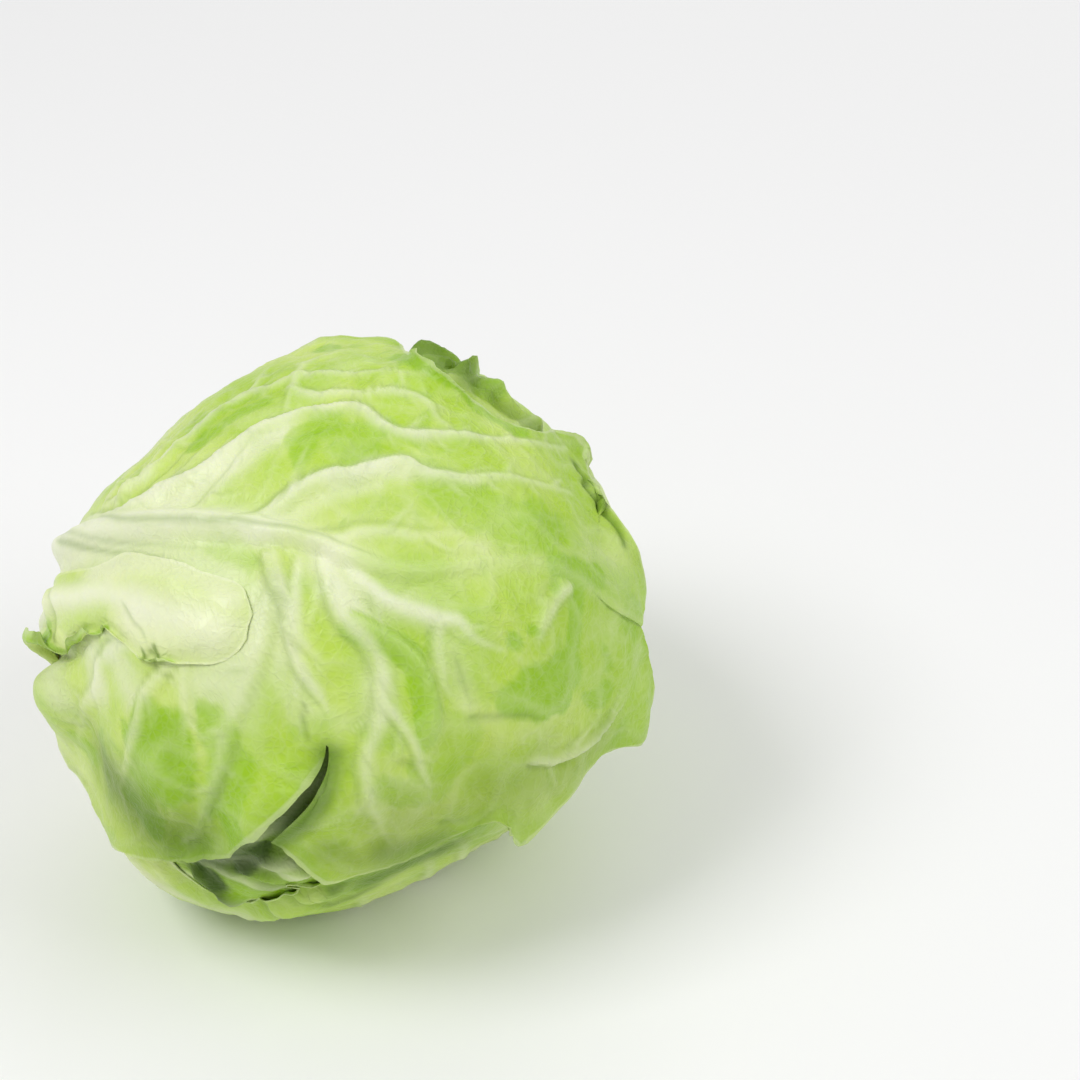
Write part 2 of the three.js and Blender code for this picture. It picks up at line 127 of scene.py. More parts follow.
def unit(vectors: Array) -> Array:
    """Vectors of the last axis, each made one long."""
    return vectors / np.maximum(lengths(vectors), 1e-12)[..., None]


def way_along(points: Array, scale: float = 1.0) -> Array:
    """Measures lines from their first point to each.

    Args:
        points: One line's points, or a row of them for each line.
        scale: Millimetres in a unit of the points.

    Returns:
        Millimetres, one for each point.
    """
    steps = lengths(np.diff(points, axis=-2)) * scale
    start = np.zeros((*steps.shape[:-1], 1))
    return np.concatenate([start, np.cumsum(steps, axis=-1)], axis=-1)


def compass(yaw: float, pitch: float) -> Array:
    """The direction at a yaw from +X towards +Y and a pitch above the horizontal, in degrees."""
    y, p = yaw * DEG, pitch * DEG
    return np.array([math.cos(y) * math.cos(p), math.sin(y) * math.cos(p), math.sin(p)])


def spline(points: Array, positions: Array) -> Array:
    """A Catmull-Rom curve through points, read at positions counted in points.

    Args:
        points: One entry of the first axis for each point.
        positions: Where to read the curve, from 0 to the last point's number.

    Returns:
        The curve's values, one entry of the first axis for each position.
    """
    last = len(points) - 1
    i = np.clip(np.floor(positions).astype(int), 0, max(last - 1, 0))
    t = (positions - i).reshape((-1,) + (1,) * (points.ndim - 1))
    p0, p1, p2, p3 = (points[np.clip(i + k, 0, last)] for k in (-1, 0, 1, 2))
    curve = t * (3 * (p1 - p2) + p3 - p0)
    return p1 + 0.5 * t * (p2 - p0 + t * (2 * p0 - 5 * p1 + 4 * p2 - p3 + curve))


def fine_path(path: Path, step: float = 2.0) -> Array:
    """Rounds a drawn line.

    Args:
        path: The line's points.
        step: About how many degrees apart its new points are.

    Returns:
        The points of a smooth curve through them.
    """
    points = np.array(path, float)
    if len(points) < 2:
        return np.repeat(points, 2, axis=0) + np.array([[0, 0], [1e-3, 0]])
    total = lengths(np.diff(points, axis=0)).sum()
    count = max(2 * len(points), int(total / step) + 2)
    return spline(points, np.linspace(0, len(points) - 1, count))


class Noise:
    """Smooth seeded noise in space, about -1 to 1."""

    SLOPES = 256
    SPREAD = 1.6

    def __init__(self, seed: int) -> None:
        """Draws the noise's table of slopes.

        Args:
            seed: The noise's seed.
        """
        rng = np.random.default_rng(seed)
        self.table = np.tile(rng.permutation(self.SLOPES), 3)
        self.slopes = unit(rng.normal(size=(self.SLOPES, 3)))

    def at(self, points: Array, wavelength: float) -> Array:
        """Reads the noise.

        Args:
            points: Places in space, in millimetres.
            wavelength: Size of the noise's forms, in millimetres.

        Returns:
            A value for each place.
        """
        scaled = points / wavelength
        base = np.floor(scaled).astype(int)
        part = scaled - base
        fade = part**3 * (part * (part * 6 - 15) + 10)
        total = np.zeros(points.shape[:-1])
        for corner in np.ndindex(2, 2, 2):
            c = (base + corner) & (self.SLOPES - 1)
            pick = self.table[self.table[self.table[c[..., 0]] + c[..., 1]] + c[..., 2]]
            weight = np.prod(np.where(corner, fade, 1 - fade), axis=-1)
            total += weight * ((part - corner) * self.slopes[pick]).sum(-1)
        return total * self.SPREAD

    def line(self, distance: Array, wavelength: float, row: float = 0.0) -> Array:
        """Reads the noise at distances along a line, in mm; row tells two lines apart."""
        across = np.full_like(distance, row)
        return self.at(np.stack([distance, across, across * 0.37 + 5.1], -1), wavelength)


def path_distance(coords: Array, path: Array) -> tuple[Array, Array, Array]:
    """Measures points of a leaf against a line drawn on it.

    Args:
        coords: Points of the leaf, [along, across] in degrees.
        path: The line's points, in the same terms.

    Returns:
        Millimetres to the line, the share of the line's way at the nearest place, and 1 or -1
        for the side of the line a point is on.
    """
    stretch = np.cos(coords[:, 1] * DEG)
    nearest = np.full(len(coords), 1e9)
    share = np.zeros(len(coords))
    side = np.ones(len(coords))
    count = len(path) - 1
    for i in range(count):
        ax = (path[i, 0] - coords[:, 0]) * stretch
        ay = path[i, 1] - coords[:, 1]
        bx = (path[i + 1, 0] - path[i, 0]) * stretch
        by = path[i + 1, 1] - path[i, 1]
        t = np.clip(-(ax * bx + ay * by) / np.maximum(bx * bx + by * by, 1e-9), 0, 1)
        away = np.hypot(ax + bx * t, ay + by * t)
        closer = away < nearest
        nearest = np.where(closer, away, nearest)
        share = np.where(closer, (i + t) / count, share)
        side = np.where(closer, np.where(ax * by - ay * bx > 0, 1.0, -1.0), side)
    return nearest * ARC, share, side


def outline_distance(coords: Array, outline: Array) -> Array:
    """Measures points against a leaf's outline.

    Args:
        coords: Points in the leaf's coordinates.
        outline: The outline's points.

    Returns:
        Degrees to the outline, negative inside it.
    """
    px, py = coords[:, 0], coords[:, 1]
    stretch = np.cos(py * DEG)
    nearest = np.full(len(coords), 1e9)
    inside = np.zeros(len(coords), bool)
    for i, a in enumerate(outline):
        b = outline[(i + 1) % len(outline)]
        ax, ay = (a[0] - px) * stretch, a[1] - py
        bx, by = (b[0] - a[0]) * stretch, b[1] - a[1]
        size = np.maximum(bx * bx + by * by, 1e-9)
        t = np.clip(-(ax * bx + ay * by) / size, 0, 1)
        nearest = np.minimum(nearest, np.hypot(ax + bx * t, ay + by * t))
        if a[1] != b[1]:
            crosses = (a[1] > py) != (b[1] > py)
            edge = a[0] + ((py - a[1]) / (b[1] - a[1])) * (b[0] - a[0])
            inside ^= crosses & (px < edge)
    return np.where(inside, -nearest, nearest)


# -------------------- the head's form


@dataclass
class HeadForm:
    """The round of the head that the frame's solids are built on, with its leaf coordinates.

    A swelling is its yaw and pitch, its reach in degrees and its rise in millimetres. The flat
    lies flat_depth under the centre, and one layer_gap more for each leaf; it blends with the
    round over flat_blend. The gap is wider by stem_gap beside the stem. A wave is its height,
    its size and where in the noise it is read.
    """

    centre: tuple[float, float, float] = (-2.0, -1.0, 81.5)
    stem_yaw: float = 147.0
    stem_pitch: float = -6.0
    semi_axes: tuple[float, float, float] = (87.5, 91.5, 85.5)
    swellings: tuple[tuple[float, float, float, float], ...] = (
        (147, -6, 30, -9),
        (141, 42, 36, -9),
        (219, -42, 34, 8),
        (210, -6, 16, -10),
        (286, -50, 28, -7),
        (312, -26, 28, -12),
        (5, 50, 20, -4),
    )
    flat_depth: float = 66.0
    flat_blend: float = 8.0
    least_down: float = 0.05
    layer_gap: float = 3.0
    stem_gap: float = 0.9
    stem_gap_reach: float = 24.0
    waves: tuple[tuple[float, float, float], ...] = ((1.1, 44, 0.0), (0.55, 21, 91.0))
    noise: Noise = field(default_factory=lambda: Noise(11))

    def __post_init__(self) -> None:
        """Works out the stem's axis and the two directions square to it."""
        self.stem_axis = compass(self.stem_yaw, self.stem_pitch)
        up = np.array([0.0, 0.0, 1.0])
        self.upward = unit(up - self.stem_axis * self.stem_axis[2])
        self.forward = np.cross(self.upward, self.stem_axis)

    def axes(self, turn: float) -> tuple[Array, Array]:
        """The along and across directions of a leaf turned round the stem."""
        c, s = math.cos(turn * DEG), math.sin(turn * DEG)
        return self.upward * c + self.forward * s, self.forward * c - self.upward * s

    def directions(self, turn: float, coords: Array) -> Array:
        """Finds where points of a leaf lie, seen from the head's centre.

        Args:
            turn: The leaf's turn round the stem.
            coords: Its points.

        Returns:
            A direction for each.
        """
        along, across = self.axes(turn)
        x, y = coords[..., 0:1] * DEG, coords[..., 1:2] * DEG
        round_ = self.stem_axis * np.cos(x) + along * np.sin(x)
        return np.cos(y) * round_ + np.sin(y) * across

    def coordinates(self, turn: float, directions: Array) -> Array:
        """The reverse of directions.

        Args:
            turn: The leaf's turn round the stem.
            directions: Directions from the head's centre.

        Returns:
            Points of the leaf.
        """
        along, across = self.axes(turn)
        x = np.arctan2(directions @ along, directions @ self.stem_axis) / DEG
        y = np.arcsin(np.clip(directions @ across, -1, 1)) / DEG
        return np.stack([np.where(x < -90, x + 360, x), y], -1)

    def body_radius(self, directions: Array) -> Array:
        """Measures the heart without its flat.

        Args:
            directions: Directions from the head's centre.

        Returns:
            The heart's radius in each.
        """
        radius = 1 / lengths(directions / np.array(self.semi_axes))
        for yaw, pitch, reach, rise in self.swellings:
            angle = np.arccos(np.clip(directions @ compass(yaw, pitch), -1, 1)) / DEG
            radius = radius + rise * bump(angle, reach)
        return radius

    def flat_radius(self, directions: Array, leaves_down: int) -> Array:
        """The radius at which directions meet a flat that lies some leaves down."""
        down = np.maximum(-directions[..., 2], self.least_down)
        return (self.flat_depth + self.layer_gap * leaves_down) / down

    def surface(self, directions: Array, offset: Array, leaves_down: int) -> Array:
        """Measures a skin of the head that is flattened below.

        Args:
            directions: Directions from the head's centre.
            offset: Millimetres from the heart to the skin in each.
            leaves_down: How many leaves lie between the heart and the flat.

        Returns:
            The skin's radius in each.
        """
        round_ = self.body_radius(directions) + offset
        flat = self.flat_radius(directions, leaves_down)
        near = np.maximum(0, self.flat_blend - np.abs(round_ - flat)) / self.flat_blend
        floored = np.minimum(round_, flat) - near * near * self.flat_blend / 4
        return np.where(directions[..., 2] > -self.least_down, round_, floored)

    def flat_share(self, directions: Array, offset: Array, leaves_down: int) -> Array:
        """Tells a skin's flat from its round.

        Args:
            directions, offset, leaves_down: As for surface.

        Returns:
            1 on the flat and 0 on the round.
        """
        flat = self.flat_radius(directions, leaves_down)
        share = smooth((self.body_radius(directions) + offset - flat) / self.flat_blend + 0.5)
        return np.where(directions[..., 2] > -self.least_down, 0.0, share)

    def undulation(self, directions: Array) -> Array:
        """Broad soft waves, in millimetres, that run through all the layers alike."""
        spots = directions * SKIN
        return sum(h * self.noise.at(spots + shift, size) for h, size, shift in self.waves)


HEAD = HeadForm()

# -------------------- what a leaf is drawn with


@dataclass(frozen=True)
class Station:
    """A row of a leaf: where it crosses the rib, and its points out to either edge."""

    rib: Point
    low: Path
    high: Path


@dataclass(frozen=True)
class Line:
    """A line drawn on a leaf.

    height and width are in millimetres; lean makes one flank steeper, towards the low side
    where it is positive; tint is how strongly the line's colour shows; left is the share of
    height and width at the line's far end.
    """

    mark: Mark
    path: Path
    height: float = 1.4
    width: float = 2.6
    lean: float = 0.0
    tint: float = 0.7
    left: float = 0.4


@dataclass(frozen=True)
class Lift:
    """A place where a leaf stands off the head, with its reach and rise in degrees and mm."""

    at: Point
    reach: float
    rise: float


@dataclass(frozen=True)
class Stretch:
    """A stretch of a leaf's margin, from one station to another."""

    side: Side
    start: float
    end: float

    def strength(self, positions: Array, slope: float) -> Array:
        """How strongly rows belong to the stretch, which fades at a slope towards its ends."""
        middle, half = (self.start + self.end) / 2, (self.end - self.start) / 2
        return smooth(slope * (1 - np.abs(positions - middle) / half))


@dataclass(frozen=True)
class Lip(Stretch):
    """A stretch that curls outwards.

    width is how much of the margin curls and radius how tightly, both in millimetres.
    """

    width: float
    radius: float


@dataclass(frozen=True)
class Reach(Stretch):
    """A stretch that runs further out than its solid, by some degrees."""

    by: float


@dataclass(frozen=True)
class Tear:
    """A tear from the low margin inwards, after a station, as far as a share of the row.

    before_rise and after_rise are how far its two edges stand off, in millimetres.
    """

    after: int
    share: float
    before_rise: float
    after_rise: float
    split_from: float = 0.12  # share of the row from which its two edges part
    split_over: float = 0.3
    rise_over: float = 0.25

    def rise(self, positions: Array, shares: Array) -> Array:
        """Lifts the tear's edges.

        Args:
            positions: The rows' places, in stations.
            shares: The columns' shares of the way to the low edge.

        Returns:
            Millimetres of rise, rows by columns.
        """
        before = self.before_rise * smooth((positions - self.after + 0.75) / 0.75)
        before = before * (positions < self.after + 0.5)
        after = self.after_rise * smooth((self.after + 1.6 - positions) / 0.6)
        after = after * (positions > self.after + 0.5)
        opened = smooth((shares - self.share) / self.rise_over)
        return (before + after)[:, None] * opened[None, :]


@dataclass
class LeafPlan:
    """One leaf: its outline, its rib and all that is drawn on it.

    turn is the leaf's turn round the stem; rib is its height in millimetres and half its width
    in degrees; ruffle is the height, count and phase of the margin's waves; shown holds
    stations that differ where the leaf shows from those of its solid. cell is the mesh's step.
    snug is how far the margin settles on what it lies on and frill how far it waves off; ragged,
    pucker, crumple and net say how much chance adds to the margin, the blade and the fine veins.
    branches is how densely small veins leave the side veins, none at 0; pale_reach is how far
    from the stem the pale foot runs, and rib_fade the share of the length from which the rib's
    paleness fades.
    """

    name: str
    slot: Slot
    turn: float
    stations: list[Station]
    rib: tuple[float, float]
    ruffle: tuple[float, float, float]
    lines: list[Line] = field(default_factory=list)
    lifts: tuple[Lift, ...] = ()
    lips: tuple[Lip, ...] = ()
    reaches: tuple[Reach, ...] = ()
    shown: dict[int, Station] = field(default_factory=dict)
    tear: Tear | None = None
    cell: float = 1.4
    seed: int = 1
    ragged: float = 1.2
    pucker: float = 0.55
    crumple: float = 0.25
    branches: int = 3
    snug: float = 0.25
    snug_reach: float = 9.0
    net: float = 1.0
    pale_reach: float = 60.0
    rib_fade: float = 0.45
    frill: float = 2.2

    def rows(self, side: Side, positions: Array, shares: Array, shown: bool = False) -> Array:
        """Points of one side of the leaf.

        Args:
            side: Which side of the rib.
            positions: Rows, counted in stations.
            shares: Shares of the way from the rib to the edge.
            shown: Whether to use the stations that show in place of the solid's.

        Returns:
            Leaf coordinates, rows by shares by two.
        """
        found = []
        for i, station in enumerate(self.stations):
            station = self.shown.get(i, station) if shown else station
            outward = station.low if side is Side.LOW else station.high
            path = np.array([station.rib, *outward], float)
            found.append(spline(path, shares * (len(path) - 1)))
        paths = np.array(found)
        whole = spline(paths, positions)
        if self.tear is None or side is Side.HIGH:
            return whole
        first = self.tear.after + 1
        before = spline(paths[:first], np.minimum(positions, first - 1))
        after = spline(paths[first:], np.maximum(positions - first, 0))
        t = np.clip(positions - (first - 1), 0, 1)[:, None, None]
        split = before * (1 - t) + after * t
        away = smooth((shares - self.tear.split_from) / self.tear.split_over)[None, :, None]
        return whole * (1 - away) + split * away

    def seen(self, side: Side, positions: Array, shares: Array) -> Array:
        """Points of one side with the margin where it shows, and not where the solid has it.

        Args:
            side, positions, shares: As for rows.

        Returns:
            Leaf coordinates, rows by shares by two.
        """
        points = self.rows(side, positions, shares, True)
        edge = self.rows(side, positions, np.array([0.9, 1.0]), True)
        outward = unit(edge[:, 1] - edge[:, 0])
        push = smooth((shares - 0.45) / 0.55)[None, :, None]
        for reach in self.reaches:
            if reach.side is side:
                amount = reach.by * reach.strength(positions, 1.6)
                points = points + (amount[:, None] * outward)[:, None] * push
        return points

    def outline(self, seen: bool) -> Array:
        """Goes once round the leaf.

        Args:
            seen: Whether to go where the leaf shows, or where the frame's solid has its margin.

        Returns:
            The outline's points.
        """
        rows = self.seen if seen else self.rows
        torn = self.tear.after if self.tear else -1
        steps = [0.0]
        for i in range(len(self.stations) - 1):
            steps += [i + 1.0] if i == torn else [i + 0.5, i + 1.0]
        positions = np.array(steps)
        edge = np.array([1.0])
        low = rows(Side.LOW, positions, edge)[:, 0]
        high = rows(Side.HIGH, positions, edge)[:, 0]
        points = [*low, *high[::-1]]
        if self.tear:
            at = steps.index(float(torn))
            shares = np.array([1, 0.85, 0.7, 0.55])
            pair = rows(Side.LOW, np.array([torn, torn + 1.0]), shares)
            points[at : at + 2] = [*pair[0], *pair[1][::-1]]
        return np.array(points)


@dataclass(frozen=True)
class PlainLeaf:
    """A leaf whose outline and side veins follow a formula.

    length runs from the stem over the head to the tip, low and high are the reaches of its
    sides and bend how far its rib bows, all in degrees; wave is how many waves its outline has.
    Side veins leave the rib in pairs from first_vein on, vein_gap apart, the high side's later
    by vein_shift, and none as near the tip as bare_tip.
    """

    length: float
    low: float
    high: float
    bend: float
    wave: float = 0.0
    rows: int = 9
    foot: float = 12.4
    fullness: float = 0.72
    wave_height: float = 0.045
    vein_pairs: int = 6
    first_vein: float = 22.0
    vein_gap: float = 17.0
    vein_shift: float = 8.0
    bare_tip: float = 34.0
    vein_shares: tuple[float, ...] = (0, 0.12, 0.27, 0.45, 0.66, 0.9)

    def stations(self) -> list[Station]:
        """Works out the leaf's outline.

        Returns:
            The leaf's stations.
        """
        half = self.length / 2
        stations = [Station((self.foot, 0), ((8, 9.5),), ((8, -9.5),))]
        for i in range(1, self.rows + 1):
            u = i / self.rows
            angle = (0.1 + 0.8 * u) * math.pi
            spread = math.sin(angle) ** self.fullness
            x = half * (1 - math.cos(angle))
            reach = [
                side * spread * (1 + self.wave_height * math.sin(self.wave * u * 6 + phase))
                for side, phase in ((self.low, 0.6), (-self.high, 2.9))
            ]
            rib = (self.foot + (self.length - self.foot) * u, self.bend * math.sin(math.pi * u))
            stations.append(Station(rib, ((x, reach[0]),), ((x, reach[1]),)))
        return stations

    def veins(self, seed: int) -> list[Line]:
        """Draws the side veins.

        Args:
            seed: Seed of the veins' small differences.

        Returns:
            The leaf's lines.
        """
        rng = np.random.default_rng(seed)
        lines = []
        for k in range(self.vein_pairs):
            root = self.first_vein + k * self.vein_gap
            for side, reach in ((1, self.low), (-1, self.high)):
                shift = 0 if side > 0 else self.vein_shift
                start = root + shift + rng.uniform(-2.5, 2.5)
                if start > self.length - self.bare_tip:
                    continue
                bow = rng.uniform(0.85, 1.2)
                path = []
                for s in self.vein_shares:
                    x = start + (27 + 4.6 * k) * bow * s**0.82 + rng.uniform(-1.0, 1.0)
                    y = self.bend * math.sin(math.pi * start / self.length) * (1 - s)
                    y += side * reach * s * (0.93 - 0.075 * k) + rng.uniform(-0.9, 0.9)
                    path.append((x, y))
                height = 1.5 - 0.13 * k
                lines.append(Line(Mark.VEIN, tuple(path), height, 2.7, 0.35 * side, 0.75, 0.35))
        return lines


def parse(text: str) -> Path:
    """A path written as "x,y x,y ..."."""
    return tuple(tuple(float(v) for v in pair.split(",")) for pair in text.split())


def stations(text: str) -> list[Station]:
    """Stations, one to a line: "rib | points out to the low edge | and to the high edge"."""
    rows = [[parse(part) for part in row.split("|")] for row in text.strip().splitlines()]
    return [Station(rib[0], low, high) for rib, low, high in rows]


def shown(text: str) -> dict[int, Station]:
    """Reads stations that each have their number and a colon before them."""
    rows = [row.split(":") for row in text.strip().splitlines()]
    return {int(number): stations(row)[0] for number, row in rows}


def drawn(text: str) -> list[Line]:
    """Reads the lines drawn on a leaf.

    Args:
        text: One entry for each, as "mark numbers: path", which a line indented by two goes on
            with. The numbers are LINE_FIELDS, or PATCH_FIELDS for a patch of colour; the last
            of them may be left out.

    Returns:
        The lines.
    """
    lines = []
    for entry in text.strip().replace("\n  ", " ").splitlines():
        start, path = entry.split(":")
        word, *numbers = start.split()
        mark = Mark[word.upper()]
        fields = PATCH_FIELDS if mark in COLOURS else LINE_FIELDS
        lines.append(Line(mark, parse(path), **dict(zip(fields, map(float, numbers)))))
    return lines

# -------------------- the leaves

# In these tables the dark patches paint shade into folds, gaps and under overlapping margins, and
# creases carry a painted shade line.
CROWN_LINES = """
deep 4 1 1: 134,-19 139,-22 142,-24 146,-22 151,-21 157,-21
crease 1.6 2.4 0 0.8 1: 134,-19 139,-22 142,-24 146,-22 151,-21 157,-21
"""
BACK_LINES = """
ridge 1.6 3.4 0.3 0 1: 82,55 86,52 91,48 96,43 100,40
ridge 3 3.2 -0.3 0 1: 86,58 93,53 98,47 101,41 106,38
ridge 3.6 3.2 0.3 0 0.9: 98,50 103,44 108,40 113,36 118,32
ridge 3.2 3 0.3 0 0.9: 108,47 114,39 120,33 126,29 131,27
ridge 5 1.6 0.4 0.2 1: 104.4,36 107,41 110,46
ridge 1.5 2.4 -0.5 0.2 1: 112,32 114,37 119,42
ridge 1.3 2.8 0.4 0.2 1: 121,27 124,31 126,37
crease 2 1.6 0 0.9 0.9: 90,51 95,47 98,43 101,41
lush 9 0.8 1: 90,54 98,50 106,44 112,40
ridge 2.4 2 0.4 0 0.9: 100,54 103,50 105,46 106,42
ridge 2.2 2 -0.4 0 0.9: 106,53 109,48 111,44 112,40
ridge 1.8 2 0.4 0 0.9: 112,49 115,44 118,40 120,36
crease 1.6 1.3 0 0.2 0.9: 97,54 101,48 103,44 104,41
crease 1.8 1.3 0 0.2 0.8: 108,53 110,47 112,43 116,38 121,33
deep 10 0.8 0.8: 86,56 94,52 101,47 107,45 113,43
deep 5 0.62 0.9: 113,43 118,39 123,34 127,30
"""
GAP_LINES = """
ridge 2.4 2.6 0.5 0.2 0.9: 92,10 96,14 98,19 100,25
ridge 2.6 2.8 0.6 0.3 0.9: 107,1 112,4 117,6 121,7 128,9
ridge 2 2 0.5 0.2 0.9: 103,5 108,8 113,8 119,5 124,2
crease 1.4 1.8 0 0.5 0.9: 108,6 114,9 120,10 126,12
crease 1.7 2.2 0 0 1: 101,4 106,4 110,1 113,-3 117,-7
lush 18 0.95 1: 92,12 100,11 108,8 116,4 124,0
deep 9 1 1: 94,4 100,4 107,2 109,1
deep 3.8 1.5 1: 95,8 96.5,10 97,12.5
deep 3.6 1.5 1: 104,6 107,4 110,0
deep 10 0.8 1: 113,-2 119,-9 124,-15 128,-21
deep 4 0.9 0.8: 93,9 96,13 97,18 98,24
deep 5 0.5 0.8: 108,11 114,13 120,13
"""
UNDER_STATIONS = """
12.4,0 | 8,9.5 | 8,-9.5
30,-2 | 25,38 | 24,-40
48,-3 | 42,53 | 40,-57
64,-4 | 60,59 | 60,-59
78,-4 | 80,60 | 80,-57
90,-3 | 98,57 | 93,-48
102,-2 | 113,52 | 106,-50
114,-1 | 127,45 | 119,-52
125,0 | 138,36 | 132,-50
135,1 | 147,25 | 144,-43
143,1 | 153,14 | 151,-26
149,1 | 157,6 | 156,-10
"""
UNDER_LINES = """
pale 7 0.7 1: 70,-52 80,-50 88,-46 96,-42
ridge 1.6 3 0.4 0.3 0.8: 93,-40 104,-44 116,-47 128,-47
deep 9 0.8 1: 139,-40 143,-37 147,-33 150,-27
deep 4 0.6 1: 124,-42 129,-39 134,-37
deep 2.2 0.7 1: 133,-46 139,-45
ridge 1.6 2.4 -0.4 0.2 0.8: 112,-50 118,-46 125,-44
ridge 1.8 2.4 -0.4 0.3 0.8: 123,-50 130,-46 138,-43
crease 1.2 2.2 0 0.5 0.8: 108,-53 109,-47 112,-41
crease 1.2 2.2 0 0.5 0.8: 121,-53 122,-48 125,-43
lush 7 0.8 1: 134,-44 141,-40 147,-34
"""
FRONT_STATIONS = """
12.4,0 | 8,9.5 | 8,-9.5
24,2 | 20,31 | 21,-28
36,3 | 33,46 | 31,-46
49,3 | 47,57 | 44,-62
63,0 | 63,40 62,62 | 60,-72
77,-3.5 | 84,40 84,62 | 80,-77
91,-7 | 105,35 103,59 | 97,-73
103,-9 | 115,7 125.6,23 124.5,37 117,54 | 108,-66.5
106,-9.5 | 118,7 127.8,22 128.4,33 126,45 | 113,-63
113,-10 | 130,20 132,50 | 122,-60
121,-9 | 140,20 143,53.5 | 133,-59
129,-9.5 | 150,20 153,49 | 144,-57
138,-13.5 | 161,12 167,37 | 155,-54
147,-18 | 166,10 169,27 | 167,-54
155,-20.5 | 172,8 180,30 | 180,-58
163,-21 | 177,2 186,18 | 199,-59
171,-20 | 184,-2 195,6 | 184,-45
179,-18 | 193,-10 206,-3 | 185,-34
187,-17 | 195,-14 202,-11 | 192,-25
"""
FRONT_SHOWN = """
4: 63,0 | 63,40 62,60 | 60,-72
5: 77,-3.5 | 84,40 84,59.4 | 80,-77
6: 91,-7 | 104,35 102,56.4 | 97,-73
7: 103,-9 | 115,7 127.7,22.4 125.1,33.6 115.2,50.2 | 108,-66.5
8: 106,-9.5 | 118,7 128.3,22.6 129.4,32 124.4,44.5 | 113,-63
9: 113,-10 | 130,20 131,46.5 | 121,-58
10: 121,-9 | 140,20 141.5,49.5 | 131,-56
11: 129,-9.5 | 150,20 151,46 | 143,-55.5
12: 138,-13.5 | 161,12 162.5,38 | 155,-53.5
14: 155,-20.5 | 172,8 178.5,28.5 | 180,-58
15: 163,-21 | 177,2 186,18 | 195,-55
17: 179,-18 | 193,-9 206,0 | 185,-34
18: 187,-17 | 195,-13 203,-8 | 192,-25
"""
